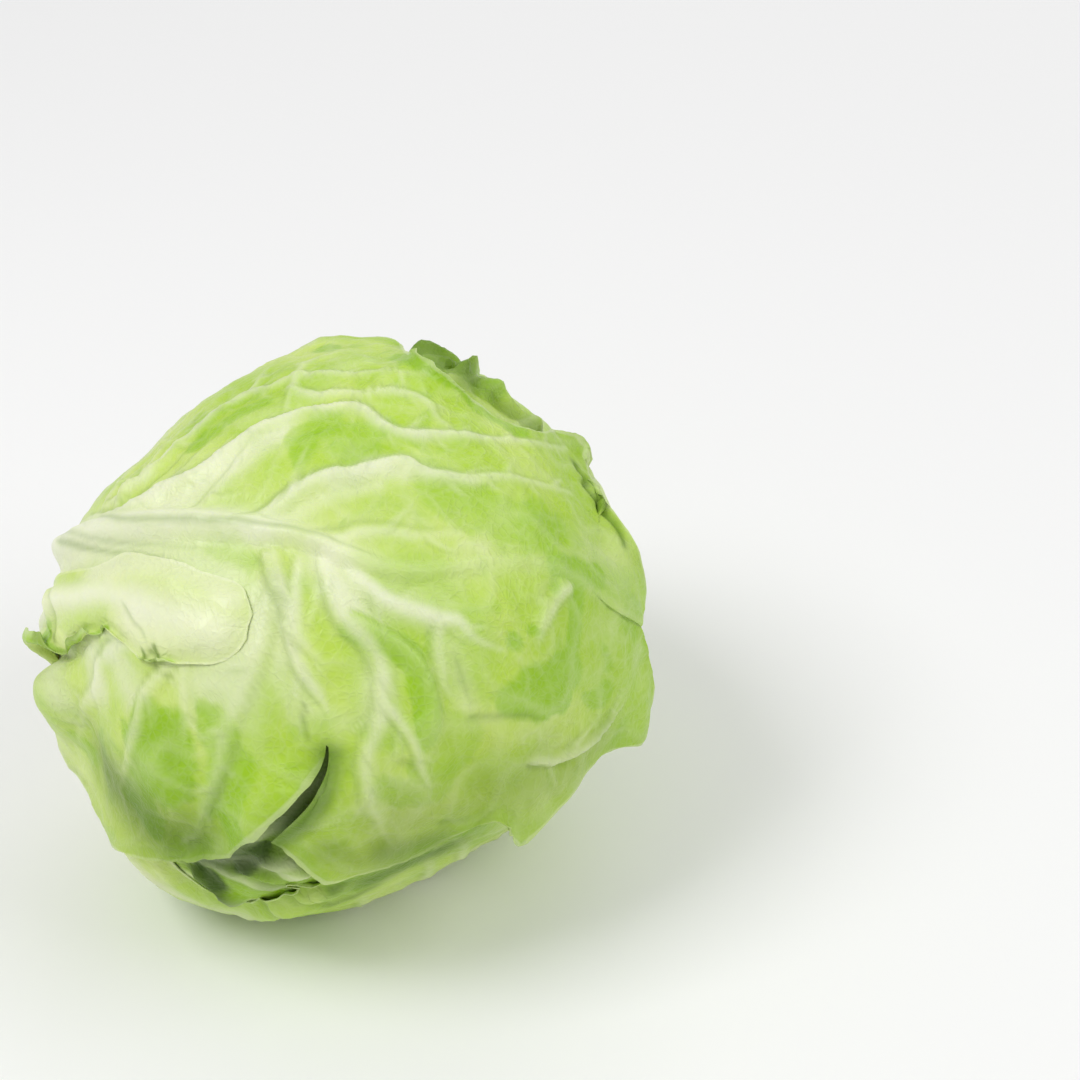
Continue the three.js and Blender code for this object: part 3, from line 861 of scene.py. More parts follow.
FRONT_LINES = """
vein 2.5 3.1 -0.75 1 0.5: 54,-3 63,-4 72,-7 78,-13 83,-17 86,-21 88,-26 90,-31 94,-35 97,-38 102,-40
  106,-42 111,-41 117,-39 123,-39 129,-41 138,-44 148,-47 155,-49 168,-51 181,-54
vein 1.9 2.8 -0.6 0.8 0.4: 58,-4 67,-12 68,-17 68,-22 70,-28 69,-34 71,-37 72,-41 78,-43 81,-47 90,-50
  99,-52 107,-55 114,-55 121,-56
vein 1.2 2.6 -0.5 0.7 0.5: 84,-44 93,-43 101,-45 107,-46 113,-48 119,-49 125,-48 129,-45 138,-44
vein 1.2 2.2 0 0.6: 70,-37 69,-45 64,-48 60,-51
vein 1.3 1.7 -0.3 0.6 0.6: 60,-5 57,-12 54,-20 51,-30 51,-40
vein 1.1 1.6 -0.3 0.5 0.5: 64,-5 65,-12 62,-20 60,-28 62,-38
ridge 0.9 1.5 -0.3 0.8 0.5: 70,-6 77,-14 80,-20 80,-27
crease 0.6 1.1 0 0.7 0.4: 66,-5 71,-12 73,-18 74,-25
vein 0.7 1.7 -0.3 0.5 0.4: 88,-8 90,-14 91,-20 91,-27
pale 13 0.16 1: 100,-13 114,-15 128,-21 146,-25
ridge 0.5 1.2 0 0.3 0.6: 46,-1.4 60,-1.6 75,-2.2 88,-3.8 98,-5.6
crease 0.45 1.1 0 0.5 0.5: 46,1.4 60,1.2 74,0.4 86,-1.2 96,-3.2
pale 5 0.6 0.7: 103,-8 108,-14 113,-20 120,-25
vein 1.1 2.2 0 0.6: 88,-42 80,-51 77,-55 79,-58 84,-62
ridge 1.4 2.4 0 0.5: 64,-9 67,-14 70,-18 70,-21 68,-25
vein 2.2 2.8 -0.7 0.9 0.45: 99,-9 103,-13 105,-17 107,-20 111,-24 115,-26 120,-30 124,-32 127,-31
  130,-31 134,-32 139,-33 143,-35 150,-37 161,-39 170,-40
crease 0.5 1.3 0 0.75 0.5: 62,-3.4 72,-3.2 77,-3.4 86,-5.2 94,-7.2 102,-9.2 107,-10.2 113,-10.6
  118,-10.6 122,-10.6
crease 0.7 1.3 0 0.75 0.5: 50,3 56,3 69,2.6 82,2 87,1.6 92,2 97,3
vein 1 3 -0.3 0.6 0.3: 113,-10 118,-12 120,-14 124,-16 128,-17 132,-18 139,-21
vein 1.5 3.3 0 0.9 0.4: 120,-8 126,-5 130,-4 135,-4 139,-4 142,-5 146,-3 152,-3
vein 1.4 2.8 0.3 0.6 0.6: 116,-8 119,-4 123,1 127,3 130,5 132,7 134,12 135,15 135,22 138,27 140,30
  144,33 147,36 153,39
vein 1.1 1.9 0.4 0.6: 134,12 139,15 142,17 144,19 147,22 150,24
ridge 1.9 2.4 -0.8 0.4 0.8: 124,0 128,1 133,2 138,4 141,7 143,10 145,14 146,17 147,21
lush 4.2 0.9 0.8: 126,2 130,3 133,3 136,4 139,7 142,11 144,16
vein 0.9 2.2 0.5 0.5: 139,-4 140,1 142,4 143,6 146,8
crease 0.5 1.4 0 0.6: 144,1 146,4 148,6 150,8
vein 1.1 2.2 -0.5 0.6 0.7: 165,-19 163,-17 161,-14 159,-10 159,-6
vein 2.4 1.7 0.6 0.62 0.8: 168,14 171,13 176,12 180,9 184,6 187,3 189,0 191,-4
crease 0.8 1.5 -0.3 0.8 0.7: 150,10 153,9 156,8 159,7 163,6 167,6
crease 0.6 1.6 0 0.6: 141,21 143,21 146,22
crease 1 2 0 0.8: 158,31 161,30 165,28
crease 0.8 2 0 0.7: 155,42 158,43 162,43
crease 1.9 1.4 0 0.2 0.6: 182,-50 181,-48 183,-46.4 180,-44 181.4,-42 182.8,-40.6 181.2,-38.6
  182.2,-36.6 183,-34 183,-31
deep 2.3 0.8 0.5: 182,-50 181,-48 183,-46.4 180,-44 181.4,-42 182.8,-40.6 181.2,-38.6 182.2,-36.6
  183,-34 183,-31
ridge 1 2 0 0.3 0.8: 186,-44 187,-38 187.4,-32 187,-27
vein 1.8 3.2 0.3 0.7 0.3: 90,10 82,17 74,23 73,27 71,30 59,36 50,42
vein 1.4 2.2 0.4 0.6 0.5: 100,11 93,20 91,23 89,27 89,31 87,35 85,39 80,44 74,49
vein 1.2 3 -0.2 0.45 0.35: 108,-6 110,4 111,12 110,20 109,25 109,29 109,34 108,39 106,45 104,51 101,56
crease 0.5 2 0 0.6 0.8: 112,27 111,34 109,41 106,48
vein 1.2 2.2 0.4 0.7: 112,-7 115,3 117,9 121,13 124,15 126,17
vein 1.2 3 0.4 0.8 0.5: 106,-6 108,-4 110,-1 114,4
vein 1 2.2 0.3 0.8 0.6: 109,-3 113,2 116,7 118,10
vein 0.9 2.2 0 0.4: 97,12 98,20 100,27 101,33
vein 0.8 1.8 0.3 0.4: 127,43 130,38 131,30 130,24
bulge 2.6 20: 58,26 66,30
bulge 1.6 16: 128,-33 134,-24
bulge 1.6 13: 112,-34
bulge 1.4 16: 152,-12 160,-8
bulge -2.4 11: 156,18 160,22
bulge 1.8 14: 94,36 98,44
bulge 1.6 10: 117,34 119,42
bulge 1.6 11: 139,31
bulge 2 8: 175,18 180,16
lush 7 0.8: 103,-35 101,-31 103,-27 104,-24
lush 4 0.75 0.8: 76,-23 77,-29 80,-34 83,-38
lush 9 0.6: 112,-33 117,-39
lush 4 0.3 0.9: 97,-4 104,-3
lush 5 0.9: 70,-62 76,-61
lush 9 0.5 0.9: 132,-29 140,-27 150,-27 158,-29
lush 2.6 0.7 0.8: 159,-27 160,-22 161,-17
lush 4.4 1 1: 161,-21 166,-22 173,-23
lush 3.4 1 1: 166,-21 167,-15 168,-9 168,-4
lush 6 1 0.9: 169,-4 166,-2 161,1 157,4
lush 4 1 1: 170,1 165,4 160,5
lush 2.9 1 1: 153.6,-5 154.2,-5
lush 2 0.9: 157,-8 159,-8
deep 11 0.40 0.9: 171,17 177,16 184,11 188,6
deep 4.1 0.95 1: 128.9,24 129.9,29 130.2,33 128.4,39 125.6,44 124,47
deep 1 0.4 0.8: 121.6,17 122,18 123,21 124.6,22.4
deep 1 0.4 0.7: 90,18 91,20 93,20.6 96,21
pale 5 0.4 0.8: 143,0 146,4 149,8
lush 4 0.8: 182,-3 179,-1 176,-1
lush 5 0.45: 184,-18 187,-15
deep 9 0.16: 93,31 98,30 98,36
lush 2.4 0.6: 180,-8 177,-11
lush 8.4 1 1: 91,32 97,31 97,38 92,40
pale 6.5 0.75 0.9: 74,15 79,20 87,27
pale 9 0.7 0.9: 48,22 53,26 55,31
pale 7 0.45 1: 86,16 92,15 98,15
pale 7 0.5 0.8: 118,14 122,18
pale 7 0.3 1: 172,-28 178,-27
lush 6 0.8 1: 106,26 112,33 112,42
lush 4 0.7: 71,40 74,36
lush 9 0.9: 87,47 90,52
lush 5 0.9: 115,44 117,48
lush 6 0.6: 54,44 50,40
lush 9 0.5: 150,14 147,26 140,26
deep 15 0.82 1: 69,46 80,49 88,51 97,53 104,52
deep 7 0.36 1: 54,49 62,52 70,54
deep 17 0.40 1: 150,33 158,28 166,22 172,18
deep 7 0.5 1: 138,43 146,43 154,42
deep 10 0.75 1: 151,40 156,39 162,36
lush 4 0.9 1: 108,-64 113,-61 122,-58 133,-57 144,-55 155,-52
pale 10 0.8 1: 46,8 66,4 80,2 92,1 101,1
pale 9 0.9 0.6: 78,-9 84,-12 90,-21 96,-31
pale 13 0.8 1: 101,12 106,6 106,18
pale 7 0.95 0.8: 117,-7 122,-3 126,0
pale 6 0.6 0.8: 126,-2 131,-4 138,-4
pale 6 0.6 0.9: 112,2 115,8 116,14
pale 6 0.5 0.8: 132,10 134,14
pale 5 0.7 0.8: 113,-22 120,-28 128,-30
pale 7 0.8 0.8: 70,20 74,28
"""
BASE_STATIONS = """
12,3 | 7,10.5 | 11,-5.5
24,4 | 21,20 | 23,-6
36,7 | 35,20 | 35,-1
48,5 | 48,12 | 47,1
59,-1 | 60,9 | 60,-6.5
68,-4 | 69,6 | 69,-10
77,-7 | 77,0 | 77,-14.5
86,-7 | 89,3 | 87,-16
95,-7 | 98,0.5 | 98,-15.6
102,-7.5 | 104,-1 | 104.5,-15.2
106,-8 | 107.2,-3.5 | 107,-13.4
108.4,-8.3 | 108.6,-6.4 | 108.6,-10.4
"""
BASE_LINES = """
crease 0.4 0.9 0 0.5 0.8: 82,-6.5 85,-4 88,-3 90,-1
pale 11 1 1: 86,-6 93,-7 99,-7 103,-6
pale 7 0.95 1: 70,-10 77,-13 87,-15 98,-14.5 104,-12.5
crease 0.8 1.4 0 0.9: 90,0 92,1 93,3
bulge 1.2 7: 96,-5 101,-6
lush 2.8 1 0.9: 42,19 48,13 52,11 57,9 60,9 64,8 68,6.6 71,5 74,2.8 78,0
deep 1.6 0.78 0.8: 55,10 60,8.4 64,7.6 68,6.4 71,5 74,2.8 78,0
lush 3.4 0.9 1: 55,-4 56,0 56,4 55,8
lush 9 0.32 0.8: 58,-2 66,-3 74,-4
deep 1.6 0.55 1: 60,-2 60.4,2 59.4,6
crease 1.2 1.4 0 0 1: 60,-2 60.4,2 59.4,6
ridge 1.4 1.4 0 0.2 1: 57.6,-3 57.8,1 57,6
lush 1.5 0.8 1: 88,3 92,2.4 95,1.4
deep 0.9 0.9 0.8: 88.4,0.6 89.6,2.4 90.4,4
deep 0.9 0.9 0.8: 91.6,-1 92,1.4 91.4,3.4
"""


def leaf_plans() -> list[LeafPlan]:
    """Draws the leaves.

    Returns:
        Their plans, from the innermost out.
    """
    over_crown = PlainLeaf(200, 64, 58, 6, 1.7)
    inner_back = PlainLeaf(178, 64, 60, -5, 1.3)
    back = PlainLeaf(172, 66, 58, 5, 1.9)
    in_gap = PlainLeaf(176, 40, 52, 4, 2.3)
    return [
        LeafPlan(
            "inner_leaf_over_crown", Slot.INNER, -12, over_crown.stations(), rib=(3.0, 3.5),
            ruffle=(1.2, 5, 0.4), lines=[*over_crown.veins(21), *drawn(CROWN_LINES)], seed=21,
            pale_reach=50,
        ),
        LeafPlan(
            "inner_leaf_back", Slot.INNER, -142, inner_back.stations(), rib=(3.5, 4.0),
            ruffle=(1.4, 6, 1.1), lines=inner_back.veins(22),
            lips=(Lip(Side.LOW, 3.5, 6.5, 7, 6), Lip(Side.HIGH, 5, 8, 6, 6)), seed=22,
        ),
        LeafPlan(
            "wrapper_leaf_back", Slot.WRAPPER, -78, back.stations(), rib=(4.5, 4.5),
            ruffle=(2.6, 7, 2.0), lines=[*back.veins(23), *drawn(BACK_LINES)],
            lips=(
                Lip(Side.LOW, 4.3, 5.1, 7, 3.2), Lip(Side.LOW, 5.0, 5.5, 8, 4.5),
                Lip(Side.LOW, 5.4, 6.1, 6, 2.4), Lip(Side.LOW, 6.0, 6.6, 10, 3.6),
                Lip(Side.LOW, 6.6, 7.2, 6, 2.6), Lip(Side.LOW, 7.1, 8.0, 7, 3.6),
                Lip(Side.HIGH, 3.0, 5.0, 7, 5), Lip(Side.HIGH, 6.0, 8.0, 8, 5),
            ),
            seed=23, ragged=2.4, crumple=0.4, cell=1.22,
        ),
        LeafPlan(
            "inner_leaf_front", Slot.INNER, 100, in_gap.stations(), rib=(1.4, 2.2),
            ruffle=(2.4, 9, 0.2), lines=[*in_gap.veins(24), *drawn(GAP_LINES)],
            lifts=(Lift((102, 19), 9, 2.0), Lift((117, 14), 10, 4.5)), seed=24, crumple=0.5,
            cell=1.25,
        ),
        LeafPlan(
            "wrapper_leaf_underneath", Slot.WRAPPER, 172, stations(UNDER_STATIONS), rib=(4.0, 4.5),
            ruffle=(0.5, 6, 0.9),
            lines=[*PlainLeaf(157, 56, 54, -3).veins(25), *drawn(UNDER_LINES)],
            lips=(Lip(Side.HIGH, 6.2, 8.8, 2.4, 2.0),),
            reaches=(
                Reach(Side.HIGH, 2.0, 5.75, 10), Reach(Side.HIGH, 8.2, 11.8, 15),
                Reach(Side.HIGH, 7.55, 7.95, 3.5), Reach(Side.HIGH, 9.35, 9.75, 3),
            ),
            snug=1.0, frill=0.4, seed=25,
        ),
        LeafPlan(
            "wrapper_leaf_front", Slot.WRAPPER, 45, stations(FRONT_STATIONS), rib=(6.0, 4.6),
            ruffle=(1.6, 8, 0.5), tear=Tear(7, 0.5, 3.9, 1.2), shown=shown(FRONT_SHOWN),
            lines=drawn(FRONT_LINES),
            lifts=(
                Lift((44, 35), 10, 9), Lift((50, 30), 9, 5), Lift((203, 1), 8.5, 7),
                Lift((182, 30), 9, 5), Lift((196, -56), 10, 1.5), Lift((127, 36), 8, 1.6),
                Lift((187, -38), 8, 1.2),
            ),
            lips=(
                Lip(Side.LOW, 5.6, 7.0, 5, 6), Lip(Side.LOW, 12.4, 14.6, 6, 5),
                Lip(Side.HIGH, 7.0, 11.6, 5.6, 5), Lip(Side.HIGH, 13.6, 16.4, 6, 5),
            ),
            cell=1.22, seed=26, pucker=0.6, crumple=0.38, pale_reach=46, rib_fade=0.3,
        ),
        LeafPlan(
            "torn_leaf_base", Slot.BASE, 62, stations(BASE_STATIONS), rib=(1.0, 3.4),
            ruffle=(0.4, 6, 0.8), lines=drawn(BASE_LINES),
            lifts=(Lift((50, 11), 7, 3), Lift((62, 9), 5, 2), Lift((60, -4), 6, 2.8)),
            lips=(
                Lip(Side.LOW, 2.2, 4.4, 9, 3.0), Lip(Side.LOW, 4.2, 5.9, 6, 2.0),
                Lip(Side.LOW, 5.7, 6.6, 3.5, 1.6), Lip(Side.LOW, 6.6, 8.0, 4, 2.0),
            ),
            cell=0.8, seed=26, ragged=0.7, pucker=0.6, crumple=0.3, branches=0, snug=1.0,
            snug_reach=7, frill=0, net=0.3, pale_reach=40,
        ),
    ]

# -------------------- meshes


def add(primitive: Callable, name: str, **sizes: object) -> bpy.types.Object:
    """Adds a primitive, with nothing else left selected.

    Args:
        primitive: The operator that adds it.
        name: Its name.
        sizes: The operator's settings.

    Returns:
        The new object.
    """
    bpy.ops.object.select_all(action="DESELECT")
    primitive(**sizes)
    piece = bpy.context.object
    piece.name = piece.data.name = name
    return piece


def read_points(mesh: bpy.types.Mesh) -> Array:
    """Reads a mesh's points.

    Args:
        mesh: The mesh.

    Returns:
        Its points, in metres.
    """
    raw = np.empty(len(mesh.vertices) * 3, np.float32)
    mesh.vertices.foreach_get("co", raw)
    return raw.reshape(-1, 3).astype(float)


def place_points(mesh: bpy.types.Mesh, points: Array) -> None:
    """Sets a mesh's points, given in millimetres from the head's centre."""
    placed = (points + np.array(HEAD.centre)) * MM
    mesh.vertices.foreach_set("co", placed.astype(np.float32).ravel())


def give_attributes(mesh: bpy.types.Mesh, values: dict[str, Array]) -> None:
    """Adds attributes to a mesh's points.

    Args:
        mesh: The mesh.
        values: The attributes' values by name, each held between 0 and 1.
    """
    for name, value in values.items():
        layer = mesh.attributes.new(name, "FLOAT", "POINT")
        layer.data.foreach_set("value", np.clip(value, 0, 1).astype(np.float32))


def select_faces(piece: bpy.types.Object, chosen: Array) -> None:
    """Selects faces and leaves the piece in edit mode.

    Args:
        piece: The piece.
        chosen: A flag for each of its faces.
    """
    bpy.ops.object.mode_set(mode="EDIT")
    bpy.ops.mesh.select_mode(type="FACE")
    bpy.ops.mesh.select_all(action="DESELECT")
    bpy.ops.object.mode_set(mode="OBJECT")
    piece.data.polygons.foreach_set("select", chosen)
    bpy.ops.object.mode_set(mode="EDIT")


def near_line(coords: Array, path: Array, margin: float) -> Array:
    """Flags the points of a leaf that lie no more than about a margin from a line.

    Args:
        coords: Points of the leaf.
        path: The line's points.
        margin: The margin, in degrees.

    Returns:
        A flag for each point.
    """
    wide = margin / np.cos(np.clip(np.abs(coords[:, 1]), 0, 80) * DEG)
    low, high = path.min(0), path.max(0)
    near = (coords[:, 0] > low[0] - wide) & (coords[:, 0] < high[0] + wide)
    return near & (coords[:, 1] > low[1] - margin) & (coords[:, 1] < high[1] + margin)


@dataclass
class Layers:
    """The leaves' outlines, and from them where each leaf lies between its neighbours.

    The ramps are in degrees: over edge_ramp a leaf settles past the edge of one under it, and
    over open_ramp and rib_ramp its forms come out past the edge of one that covers it.
    """

    plans: list[LeafPlan]
    edge_ramp: float = 16.0
    open_ramp: float = 5.0
    rib_ramp: float = 3.5

    def __post_init__(self) -> None:
        """Works out every leaf's outline once."""
        self.solid = [plan.outline(False) for plan in self.plans]
        self.seen = [plan.outline(True) for plan in self.plans]

    def distances(self, directions: Array, outlines: list[Array]) -> list[Array]:
        """Degrees from directions to each leaf's outline, negative on the leaf."""
        return [
            outline_distance(HEAD.coordinates(plan.turn, directions), outline)
            for plan, outline in zip(self.plans, outlines)
        ]

    def gap(self, directions: Array) -> Array:
        """Millimetres from one leaf to the next."""
        from_stem = np.arccos(np.clip(directions @ HEAD.stem_axis, -1, 1)) / DEG
        return HEAD.layer_gap + HEAD.stem_gap * bump(from_stem, HEAD.stem_gap_reach)

    def offset(self, index: int, directions: Array, distances: list[Array]) -> Array:
        """Millimetres from the heart out to a leaf's middle."""
        covers = [1 - smooth(distances[k] / self.edge_ramp) for k in range(index)]
        return self.gap(directions) * (1 + sum(covers))

    def exposure(self, index: int, distances: list[Array], ramp: float) -> Array:
        """Tells how open to the air a leaf is.

        Args:
            index: The leaf's number.
            distances: Degrees to every leaf's outline.
            ramp: Over how many degrees it changes.

        Returns:
            1 where nothing lies over the leaf, 0 under the leaves outside it.
        """
        open_ = np.ones(len(distances[0]))
        for k in range(index + 1, len(self.plans)):
            open_ *= smooth(distances[k] / ramp)
        return open_


@dataclass(frozen=True)
class Profile:
    """The cross section of a drawn line, in shares of its width and of its strength.

    thin and faint are the width and tint left where the line has died away; a lean makes one
    flank steeper and the other gentler; a trough runs beside it, and a painted shade line beside
    the steeper flank. Lines waver in strength over waver_size millimetres, and touch nothing
    further off than reach widths and reach_more millimetres.
    """

    thin: float = 0.45
    faint: float = 0.35
    steeper: float = 0.55
    gentler: float = 0.6
    trough: float = 0.22
    trough_at: float = 2.1
    trough_width: float = 0.9
    shade: float = 0.75
    shade_at: float = 1.5
    shade_width: float = 0.42
    ridge_paleness: float = 0.45
    pale_width: float = 0.8
    waver: float = 0.22
    waver_size: float = 19.0
    reach: float = 3.0
    reach_more: float = 4.0

    def taper(self, line: Line, path: Array, share: Array) -> Array:
        """Works out how a line dies away.

        Args:
            line: The line.
            path: Its points, close together.
            share: Shares of its way.

        Returns:
            How much of its height is left at each, a little uneven and soft at its ends.
        """
        way = share * (lengths(np.diff(path, axis=0)).sum() * ARC)
        seed = int(abs(path[0, 0] * 7 + path[-1, 1] * 3))
        waver = Noise(seed).line(way, self.waver_size)
        taper = (1 - (1 - line.left) * share) * (1 + self.waver * waver)
        return taper * smooth((1.02 - share) * 3.2) * smooth((share + 0.05) * 6)


PROFILE = Profile()
FRAY_SEED = 17  # of the chance that frays green patches, in forms of two sizes
FRAYS = ((0.40, 9.0), (0.22, 4.0))


@dataclass
class Relief:
    """What the lines of a leaf add up to at its points."""

    height: Array
    vein: Array
    painted_shade_line: Array
    lush: Array
    pale: Array
    deep: Array

    @staticmethod
    def of(coords: Array, lines: list[Line]) -> "Relief":
        """Draws lines on a leaf.

        Args:
            coords: The leaf's points.
            lines: The lines.

        Returns:
            What they add up to.
        """
        relief = Relief(*(np.zeros(len(coords)) for _ in range(6)))
        for line in lines:
            path = fine_path(line.path)
            if line.mark in PATCHES:
                relief.patch(line, path, coords)
            else:
                relief.stroke(line, path, coords)
        return relief

    def stroke(self, line: Line, path: Array, coords: Array) -> None:
        """Draws a vein, a ridge or a crease.

        Args:
            line: The line.
            path: Its points, close together.
            coords: The leaf's points.
        """
        p = PROFILE
        near = near_line(coords, path, (line.width * p.reach + p.reach_more) / ARC)
        if not near.any():
            return
        away, share, side = path_distance(coords[near], path)
        taper = p.taper(line, path, share)
        width = line.width * (p.thin + (1 - p.thin) * taper)
        steep = np.where(side * line.lean > 0, 1 - abs(line.lean) * p.steeper, 1.0)
        gentle = np.where(side * line.lean < 0, 1 + abs(line.lean) * p.gentler, 1.0)
        shape = bump(away, width * steep * gentle)
        tint = line.tint * (p.faint + (1 - p.faint) * taper)
        if line.mark is Mark.CREASE:
            self.height[near] -= line.height * taper * shape
            # A crease's painted shade line.
            self.painted_shade_line[near] = np.maximum(self.painted_shade_line[near], tint * shape)
            return
        trough = p.trough * bump(away - p.trough_at * width * steep, p.trough_width * width)
        self.height[near] += line.height * taper * (shape - trough)
        # A painted shade line beside the steeper flank.
        shade = bump(away - p.shade_at * width * steep, p.shade_width * width) * (steep < 1)
        self.painted_shade_line[near] = np.maximum(self.painted_shade_line[near], p.shade * tint * shade)
        paleness = 1.0 if line.mark is Mark.VEIN else p.ridge_paleness
        vein = paleness * tint * bump(away, width * p.pale_width * gentle)
        self.vein[near] = np.maximum(self.vein[near], vein)

    def patch(self, line: Line, path: Array, coords: Array) -> None:
        """Draws a line that is a patch of colour or a swelling.

        Args:
            line: The line.
            path: Its points, close together.
            coords: The leaf's points.
        """
        away, share, _ = path_distance(coords, path)
        width = line.width * (1 - (1 - line.left) * share)
        shape = bump(away, width)
        if line.mark is Mark.BULGE:
            self.height += line.height * shape
        elif line.mark is Mark.LUSH:
            flat = np.concatenate([coords * ARC, np.zeros((len(coords), 1))], axis=1)
            noise = Noise(FRAY_SEED)
            frayed = away / width
            for amount, size in FRAYS:
                frayed = frayed + amount * noise.at(flat, size)
            self.lush = np.maximum(self.lush, line.tint * smooth(2.3 * (1.25 - frayed)))
        elif line.mark is Mark.DEEP:
            # Painted shade.
            self.deep = np.maximum(self.deep, np.minimum(line.tint * shape, 1.0))
        else:
            self.pale = np.maximum(self.pale, line.tint * shape)


@dataclass(frozen=True)
class Twigs:
    """The small veins that leave a leaf's side veins, by seeded chance.

    Each pair is a range: first, apart and reach are in millimetres, angle is how far a small
    vein turns off its side vein and turn how far it turns back at each step, in degrees.
    """

    first: tuple[float, float] = (8, 14)
    apart: tuple[float, float] = (7, 15)
    reach: tuple[float, float] = (9, 20)
    angle: tuple[float, float] = (38, 64)
    turn: tuple[float, float] = (-2, 11)
    lean: tuple[float, float] = (-0.5, 0.5)
    steps: int = 4
    height: float = 0.55
    width: float = 1.5
    tint: float = 0.4
    left: float = 0.2
    dense: int = 3  # the plan's branches at which small veins are as far apart as that
    clear: float = 4.0  # millimetres kept free at the side vein's end
    shorter: float = 0.4  # share of the reach that is lost towards it

    def of(self, plan: LeafPlan) -> list[Line]:
        """Draws a leaf's small veins.

        Args:
            plan: The leaf.

        Returns:
            The small veins.
        """
        rng = np.random.default_rng(plan.seed + BRANCH_DRAW)
        small = []
        for line in plan.lines:
            if line.mark is not Mark.VEIN or plan.branches == 0:
                continue
            path = fine_path(line.path, 1.5)
            along = way_along(path, ARC)
            spot = rng.uniform(*self.first)
            side = 1.0
            while spot < along[-1] - self.clear:
                i = int(np.searchsorted(along, spot)) - 1
                ahead = unit(path[i + 1] - path[i])
                angle = side * rng.uniform(*self.angle) * DEG
                heading = math.atan2(ahead[1], ahead[0]) + angle
                left = 1 - self.shorter * spot / along[-1]
                step = rng.uniform(*self.reach) / ARC * left / self.steps
                points = [tuple(path[i])]
                for _ in range(self.steps):
                    heading -= side * rng.uniform(*self.turn) * DEG
                    x, y = points[-1]
                    points.append((x + step * math.cos(heading), y + step * math.sin(heading)))
                sizes = (self.height, self.width, rng.uniform(*self.lean), self.tint, self.left)
                small.append(Line(Mark.VEIN, tuple(points), *sizes))
                spot += rng.uniform(*self.apart) * self.dense / plan.branches
                side = -side
        return small


@dataclass(frozen=True)
class Collar:
    """How the leaves' feet draw in round the stem that they grew on, in millimetres.

    A foot's radius and its rise along the stem change by a step from each leaf to the next one
    out. It draws in from reach, over a ramp.
    """

    radius: float = 15.5
    radius_step: float = 1.05
    rise: float = 3.2
    rise_step: float = -0.5
    reach: float = 27.0
    ramp: float = 9.0

    def draw_in(self, grid: Array, offset: Array) -> Array:
        """Draws a leaf's foot in.

        Args:
            grid: The leaf's points.
            offset: Millimetres from the heart to each, in one list.

        Returns:
            The grid with its foot drawn in.
        """
        points = grid.reshape(-1, 3)
        height = points @ HEAD.stem_axis
        radial = points - height[:, None] * HEAD.stem_axis
        away = lengths(radial)
        layer = offset / (HEAD.layer_gap + HEAD.stem_gap) - 1
        target = self.radius + self.radius_step * layer
        share = smooth((self.reach - away) / self.ramp) * (height > 0)
        new_away = away + (np.minimum(target, away) - away) * share
        new_height = height + share * (self.rise + self.rise_step * layer)
        drawn_in = unit(radial) * new_away[:, None] + new_height[:, None] * HEAD.stem_axis
        return drawn_in.reshape(grid.shape)


